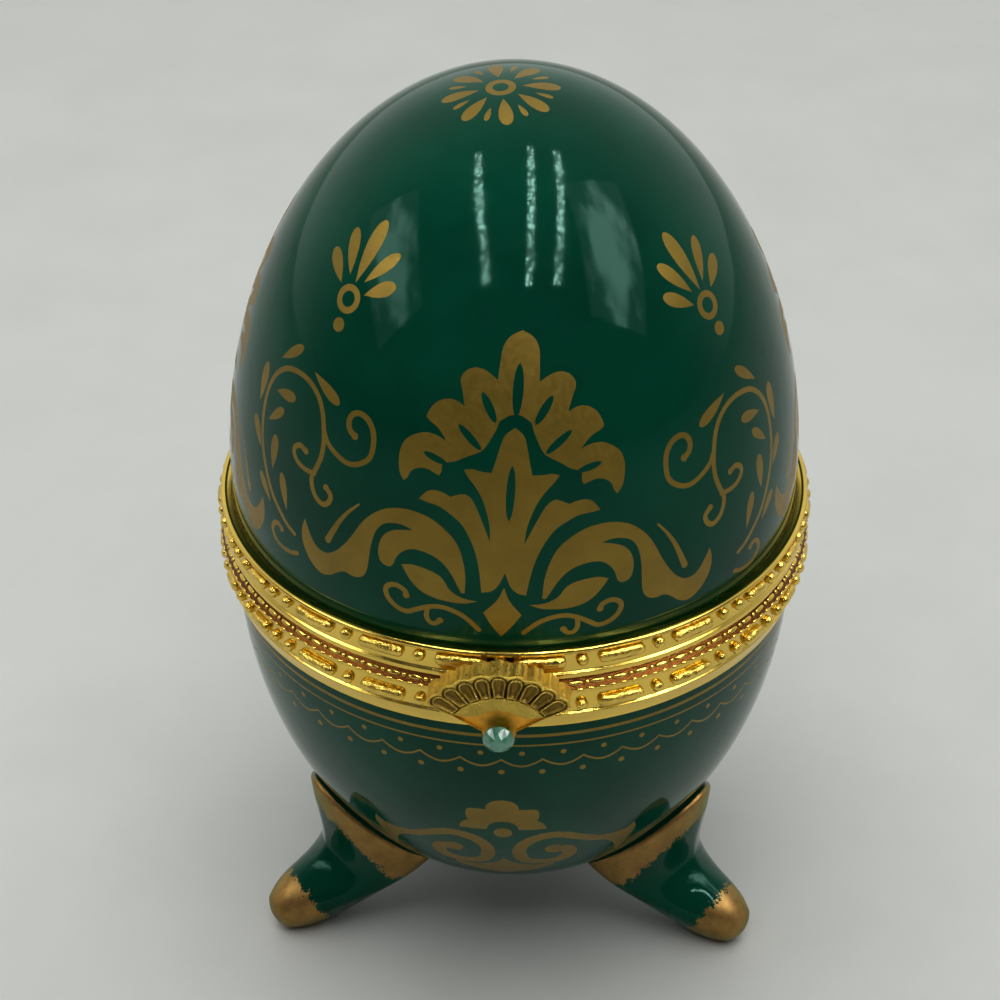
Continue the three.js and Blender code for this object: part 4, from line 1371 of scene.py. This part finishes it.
def fan_depth(x, z):
    """How deep the fan's face lies behind its front plane, at points across and up from the stone."""
    depth = np.zeros_like(x)
    edge_x, edge_z = zip(*HOLLOW)
    arch = np.interp(np.abs(x), edge_x, edge_z)
    below = arch - z
    step = np.clip(below / 0.28 + 0.5, 0, 1)
    depth += 0.7 * step * step * (3 - 2 * step)
    turn = np.arctan2(x / FAN_HALF_WIDTH, z / FAN_HEIGHT)
    inset_share = np.hypot(x / FAN_HALF_WIDTH, z / FAN_HEIGHT)
    inset = (1 - inset_share) * FAN_HEIGHT
    pitch = 2 * FAN_HALF_ANGLE / FAN_FLUTES
    across = (np.mod(turn + FAN_HALF_ANGLE, pitch) - pitch / 2) * (FAN_HEIGHT - inset)
    half = pitch / 2 * (FAN_HEIGHT - inset) - 0.14
    outer, inner = 0.55, 3.35
    end_radius = half * 0.95
    along = np.maximum(outer + end_radius - inset, 0)
    round_end = end_radius - np.hypot(across, along)
    edge = np.where(along > 0, round_end, half - np.abs(across))
    edge = np.minimum(edge, inner - inset)
    edge = np.where(np.abs(turn) > FAN_HALF_ANGLE, -1, edge)
    zone = (np.abs(turn) <= FAN_HALF_ANGLE) & (inset < inner + 0.25)
    groove = np.where(edge < 0, np.clip(1 - np.abs(edge + 0.08) / 0.14, 0, 1) * 0.32, 0)
    ridge = np.exp(-((edge - 0.13) / 0.07) ** 2) * -0.05
    dish = np.clip((edge - 0.16) / 0.3, 0, 1) * 0.3
    relief = np.where(edge < 0, groove, ridge + dish)
    relief = np.where(zone, relief, 0)
    # Recessed cells and their grooves take the darkened gilt, a painted shade.
    cell_shade_mask = zone & ((edge > 0.14) | ((edge < 0) & (edge > -0.22)))
    return depth + relief, np.where(below > -0.1, 3, np.where(cell_shade_mask, 2, 1))


class EGG_OT_fan_clasp(bpy.types.Operator):
    """Make the fan clasp with its flutes and the hollow behind the stone"""

    bl_idname = "egg.fan_clasp"
    bl_label = "Fan Clasp"

    def execute(self, context):
        face, back = FAN_FRONT, FAN_FRONT + FAN_THICKNESS
        outline = fan_outline()
        n, rows = len(outline), 84
        shares = np.linspace(0, 1, rows + 1)[1:] ** 0.8
        grid = outline[None] * shares[:, None, None]
        depth, zones = fan_depth(grid[..., 0], grid[..., 1])
        rim_round = np.clip((shares - 0.985) / 0.015, 0, 1)[:, None] * 0.12
        front = np.stack([grid[..., 0] + STONE_X, face + depth + rim_round, grid[..., 1] + STONE_Z], -1)
        side_rows = []
        turn = np.arctan2(outline[:, 0], outline[:, 1])
        rib = 0.1 * np.cos(turn * FAN_FLUTES * 2 / (2 * FAN_HALF_ANGLE) * 2 * math.pi)
        size = np.linalg.norm(outline, axis=1)
        for share in (0.08, 0.2, 0.4, 0.6, 0.8, 1.0):
            scale = 1 + np.where(outline[:, 1] > 2, rib * min(share * 4, 1) - 0.05, 0) / size
            ring = outline * scale[:, None]
            y = face + 0.12 + (back - face - 0.12) * share
            side_rows.append(np.stack([ring[:, 0] + STONE_X, np.full(n, y), ring[:, 1] + STONE_Z], -1))
        rear = np.stack([outline[:, 0] * 0.5 + STONE_X, np.full(n, back), outline[:, 1] * 0.5 + STONE_Z], -1)
        layers = np.concatenate([front, np.array(side_rows), rear[None]])
        vertices = [(STONE_X, face + 0.7, STONE_Z)] + layers.reshape(-1, 3).tolist() + [(STONE_X, back, STONE_Z)]
        faces, kinds = [], []
        total = len(layers)
        for i in range(n):
            j = (i + 1) % n
            faces.append((0, 1 + i, 1 + j))
            kinds.append(3)
            for row in range(total - 1):
                a, b = 1 + row * n, 1 + (row + 1) * n
                faces.append((a + i, b + i, b + j, a + j))
                kinds.append(int(zones[row, i]) if row < rows - 1 else 0)
            faces.append((len(vertices) - 1, 1 + (total - 1) * n + j, 1 + (total - 1) * n + i))
            kinds.append(0)
        # The third coat darkens the cells and grooves as painted shade.
        coats = (finish("fan_gilt"), finish("scratched_gilt"), finish("cell_shade_gilt"), finish("warm_gilt"))
        plate = outward(new_object("fan_plate", vertices, faces, coats, kinds, sharp=50))
        rim = sizes().rim
        root_back = AXIS_Y - rim.band_radius - 0.06
        low, high = SEAM + 0.45, SEAM + 3.35
        root = block("fan_root", (-1.6, 1.6), (back - 1.0, root_back), (low, high))
        fan = join("fan_clasp", [plate, root])
        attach(fan, "lid")
        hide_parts("clasp_fan")
        return {"FINISHED"}


class EGG_OT_stone(bpy.types.Operator):
    """Make the faceted stone"""

    bl_idname = "egg.stone"
    bl_label = "Stone"

    def execute(self, context):
        front, back = STONE_LOW.y, STONE_HIGH.y
        radius = (STONE_HIGH.z - STONE_LOW.z) / 2
        work = bmesh.new()
        rings = [(0.5, front, 8, 0.5), (0.8, front + 0.6, 8, 0.0), (1.0, front + 1.1, 16, 0.25)]
        rings += [(1.0, front + 1.35, 16, 0.25), (0.5, back, 8, 0.0)]
        for share, y, steps, turn in rings:
            for k in range(steps):
                a = 2 * math.pi * (k + turn) / steps if steps == 8 else 2 * math.pi * k / steps
                x, z = STONE_X + radius * share * math.sin(a), STONE_Z + radius * share * math.cos(a)
                work.verts.new((x * MM, y * MM, z * MM))
        bmesh.ops.convex_hull(work, input=work.verts)
        mesh = bpy.data.meshes.new("clasp_gem")
        loose = [v for v in work.verts if not v.link_faces]
        bmesh.ops.delete(work, geom=loose, context="VERTS")
        bmesh.ops.dissolve_limit(work, angle_limit=math.radians(1), verts=work.verts, edges=work.edges)
        bmesh.ops.triangulate(work, faces=work.faces)
        work.to_mesh(mesh)
        work.free()
        mesh.materials.append(finish("pale_stone"))
        gem = bpy.data.objects.new("clasp_gem", mesh)
        context.scene.collection.objects.link(gem)
        outward(gem)
        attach(gem, "lid")
        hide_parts("clasp_stone")
        return {"FINISHED"}


def faded(tree, value, span):
    """A value eased from one range to another, given as both ends of each."""
    values = dict(zip(("From Min", "From Max", "To Min", "To Max"), span), Value=value)
    return add(tree, "ShaderNodeMapRange", values, interpolation_type="SMOOTHSTEP").outputs["Result"]


def patterned(light, dots):
    """Gives a mirrored light the dots of a tube lamp or the soft edges of a window."""
    light.use_nodes = True
    tree = light.node_tree
    place = add(tree, "ShaderNodeNewGeometry").outputs["Parametric"]
    if dots:
        stretched = add(tree, "ShaderNodeVectorMath", {0: place, 1: (2.2, 46.0, 1.0)}, operation="MULTIPLY")
        cells = add(tree, "ShaderNodeTexVoronoi", {"Vector": stretched.outputs[0], "Scale": 1.0})
        strength = faded(tree, cells.outputs["Distance"], (0.15, 0.5, 1.0, 0.05))
    else:
        smudge = add(tree, "ShaderNodeTexNoise", {"Vector": place, "Scale": 3.2, "Detail": 3.0})
        away = add(tree, "ShaderNodeVectorMath", {0: place, 1: (0.5, 0.5, 0.0)}, operation="DISTANCE")
        both = {0: away.outputs["Value"], 1: smudge.outputs["Fac"]}
        uneven = add(tree, "ShaderNodeMath", both, operation="SUBTRACT")
        strength = faded(tree, uneven.outputs[0], (-0.3, 0.02, 1.0, 0.1))
    tree.links.new(strength, tree.nodes["Emission"].inputs["Strength"])


def panel_light(name, ends, width, radiance, target, mirrored):
    """A long soft light between two ends. A mirrored one shows only in the gloss, and any other only lights."""
    first, second, target = Vector(ends[0]), Vector(ends[1]), Vector(target)
    light = bpy.data.lights.new(name, "AREA")
    light.shape = "RECTANGLE"
    light.size, light.size_y = width, (second - first).length
    light.energy = radiance * math.pi * light.size * light.size_y
    obj = bpy.data.objects.new(name, light)
    bpy.context.scene.collection.objects.link(obj)
    middle = (first + second) / 2
    along = (second - first).normalized()
    back = middle - target
    back = (back - along * back.dot(along)).normalized()
    turn = Matrix((along.cross(back), along, back)).transposed()
    obj.matrix_world = Matrix.Translation(middle) @ turn.to_4x4()
    obj.visible_diffuse = not mirrored
    obj.visible_glossy = mirrored
    obj.visible_camera = False
    return obj


# Tube lamps and windows, as the glaze mirrors them: two directions from the lid, width in metres and radiance
MIRRORED_LIGHTS = (
    ((-0.275, 0.161, 0.948), (-0.186, -0.698, 0.692), 0.036, 95.0),
    ((0.108, 0.213, 0.971), (0.153, -0.709, 0.689), 0.036, 100.0),
    ((0.309, 0.225, 0.924), (0.362, -0.655, 0.664), 0.036, 100.0),
    ((-0.773, 0.116, 0.623), (-0.744, -0.557, 0.369), 0.26, 5.5),
    ((0.541, 0.085, 0.837), (0.748, -0.536, 0.392), 0.32, 8.0),
)


# The world's light, its strength from the front to the back, and its colour as the camera sees it
WORLD_LIGHT = (0.95, 0.97, 0.94, 1)
WORLD_FADE = (-0.35, 0.6, 0.06, 0.85)
WORLD_SEEN = (0.58, 0.59, 0.57, 1)
# The photo's camera: place in millimetres, way it looks, its right hand, and roll in radians
CAMERA_PLACE = (13.595, -307.386, 272.5)
CAMERA_WAY = (-0.0408, 0.8195, -0.5717)
CAMERA_RIGHT = (0.998763, 0.049721, 0)
CAMERA_ROLL = -0.0029


class EGG_OT_studio(bpy.types.Operator):
    """Set up the table, the light and the camera"""

    bl_idname = "egg.studio"
    bl_label = "Studio"

    def execute(self, context):
        side = 2.0
        corners = [(-side, -side, 0), (side, -side, 0), (side, side, 0), (-side, side, 0)]
        table = new_object("table", np.array(corners) / MM, [(0, 1, 2, 3)], (finish("table"),))
        world = bpy.data.worlds.new("Studio")
        context.scene.world = world
        world.use_nodes = True
        tree = world.node_tree
        tree.nodes.clear()
        way = add(tree, "ShaderNodeTexCoord").outputs["Generated"]
        split = add(tree, "ShaderNodeSeparateXYZ", {0: way})
        strength = faded(tree, split.outputs["Y"], WORLD_FADE)
        lit = add(tree, "ShaderNodeBackground", {"Color": WORLD_LIGHT, "Strength": strength})
        seen = add(tree, "ShaderNodeBackground", {"Color": WORLD_SEEN})
        direct = add(tree, "ShaderNodeLightPath").outputs["Is Camera Ray"]
        blend = add(tree, "ShaderNodeMixShader", {0: direct, 1: lit.outputs[0], 2: seen.outputs[0]})
        add(tree, "ShaderNodeOutputWorld", {"Surface": blend.outputs[0]})
        target = (0, 0, 0.06)
        panel_light("overhead", ((-0.45, -0.12, 0.85), (0.45, -0.12, 0.85)), 0.9, 2.3, target, False)
        middle = Vector((0, -0.016, 0.107))
        for number, (first, second, width, radiance) in enumerate(MIRRORED_LIGHTS):
            ends = [middle + 0.7 * Vector(way) for way in (first, second)]
            light = panel_light(f"mirrored_{number}", ends, width, radiance, middle, True)
            patterned(light.data, width < 0.1)
        camera = bpy.data.cameras.new("photo_view")
        camera.lens, camera.sensor_width = 108.0, 36.0
        camera.clip_start = 0.01
        camera.shift_y = 0.001
        obj = bpy.data.objects.new("photo_view", camera)
        context.scene.collection.objects.link(obj)
        forward = Vector(CAMERA_WAY).normalized()
        right = Vector(CAMERA_RIGHT)
        up = right.cross(forward).normalized()
        roll = CAMERA_ROLL
        right, up = right * math.cos(roll) + up * math.sin(roll), up * math.cos(roll) - right * math.sin(roll)
        turn = Matrix((right, up, -forward)).transposed()
        obj.matrix_world = Matrix.Translation(Vector(CAMERA_PLACE) * MM) @ turn.to_4x4()
        context.scene.camera = obj
        context.scene.view_settings.view_transform = "Standard"
        return {"FINISHED"}


class PorcelainEgg(bpy.types.PropertyGroup):
    """All of the egg's settings."""

    egg: bpy.props.PointerProperty(type=EggSizes)
    foot: bpy.props.PointerProperty(type=FootSizes)
    rim: bpy.props.PointerProperty(type=RimSizes)
    colours: bpy.props.PointerProperty(type=EggColours)


OPERATORS = (
    EGG_OT_porcelain_bowl,
    EGG_OT_bowl_rim,
    EGG_OT_hinge_pin,
    EGG_OT_porcelain_lid,
    EGG_OT_lid_rim,
    EGG_OT_fan_clasp,
    EGG_OT_stone,
    EGG_OT_studio,
)


class EGG_PT_panel(bpy.types.Panel):
    """The egg's sizes, colours and pieces"""

    bl_label = "Porcelain Egg"
    bl_idname = "EGG_PT_panel"
    bl_space_type = "VIEW_3D"
    bl_region_type = "UI"
    bl_category = "Egg"

    def draw(self, context):
        settings = context.scene.porcelain_egg
        for group in (settings.egg, settings.foot, settings.rim, settings.colours):
            box = self.layout.box()
            for name in group.__annotations__:
                box.prop(group, name)
        for operator in OPERATORS:
            self.layout.operator(operator.bl_idname)


CLASSES = (EggSizes, FootSizes, RimSizes, EggColours, PorcelainEgg, *OPERATORS, EGG_PT_panel)


def register():
    for cls in CLASSES:
        bpy.utils.register_class(cls)
    bpy.types.Scene.porcelain_egg = bpy.props.PointerProperty(type=PorcelainEgg)


def unregister():
    del bpy.types.Scene.porcelain_egg
    for cls in reversed(CLASSES):
        bpy.utils.unregister_class(cls)


def main():
    register()
    for operator in OPERATORS:
        group, name = operator.bl_idname.split(".")
        getattr(getattr(bpy.ops, group), name)()


if __name__ == "__main__":
    main()
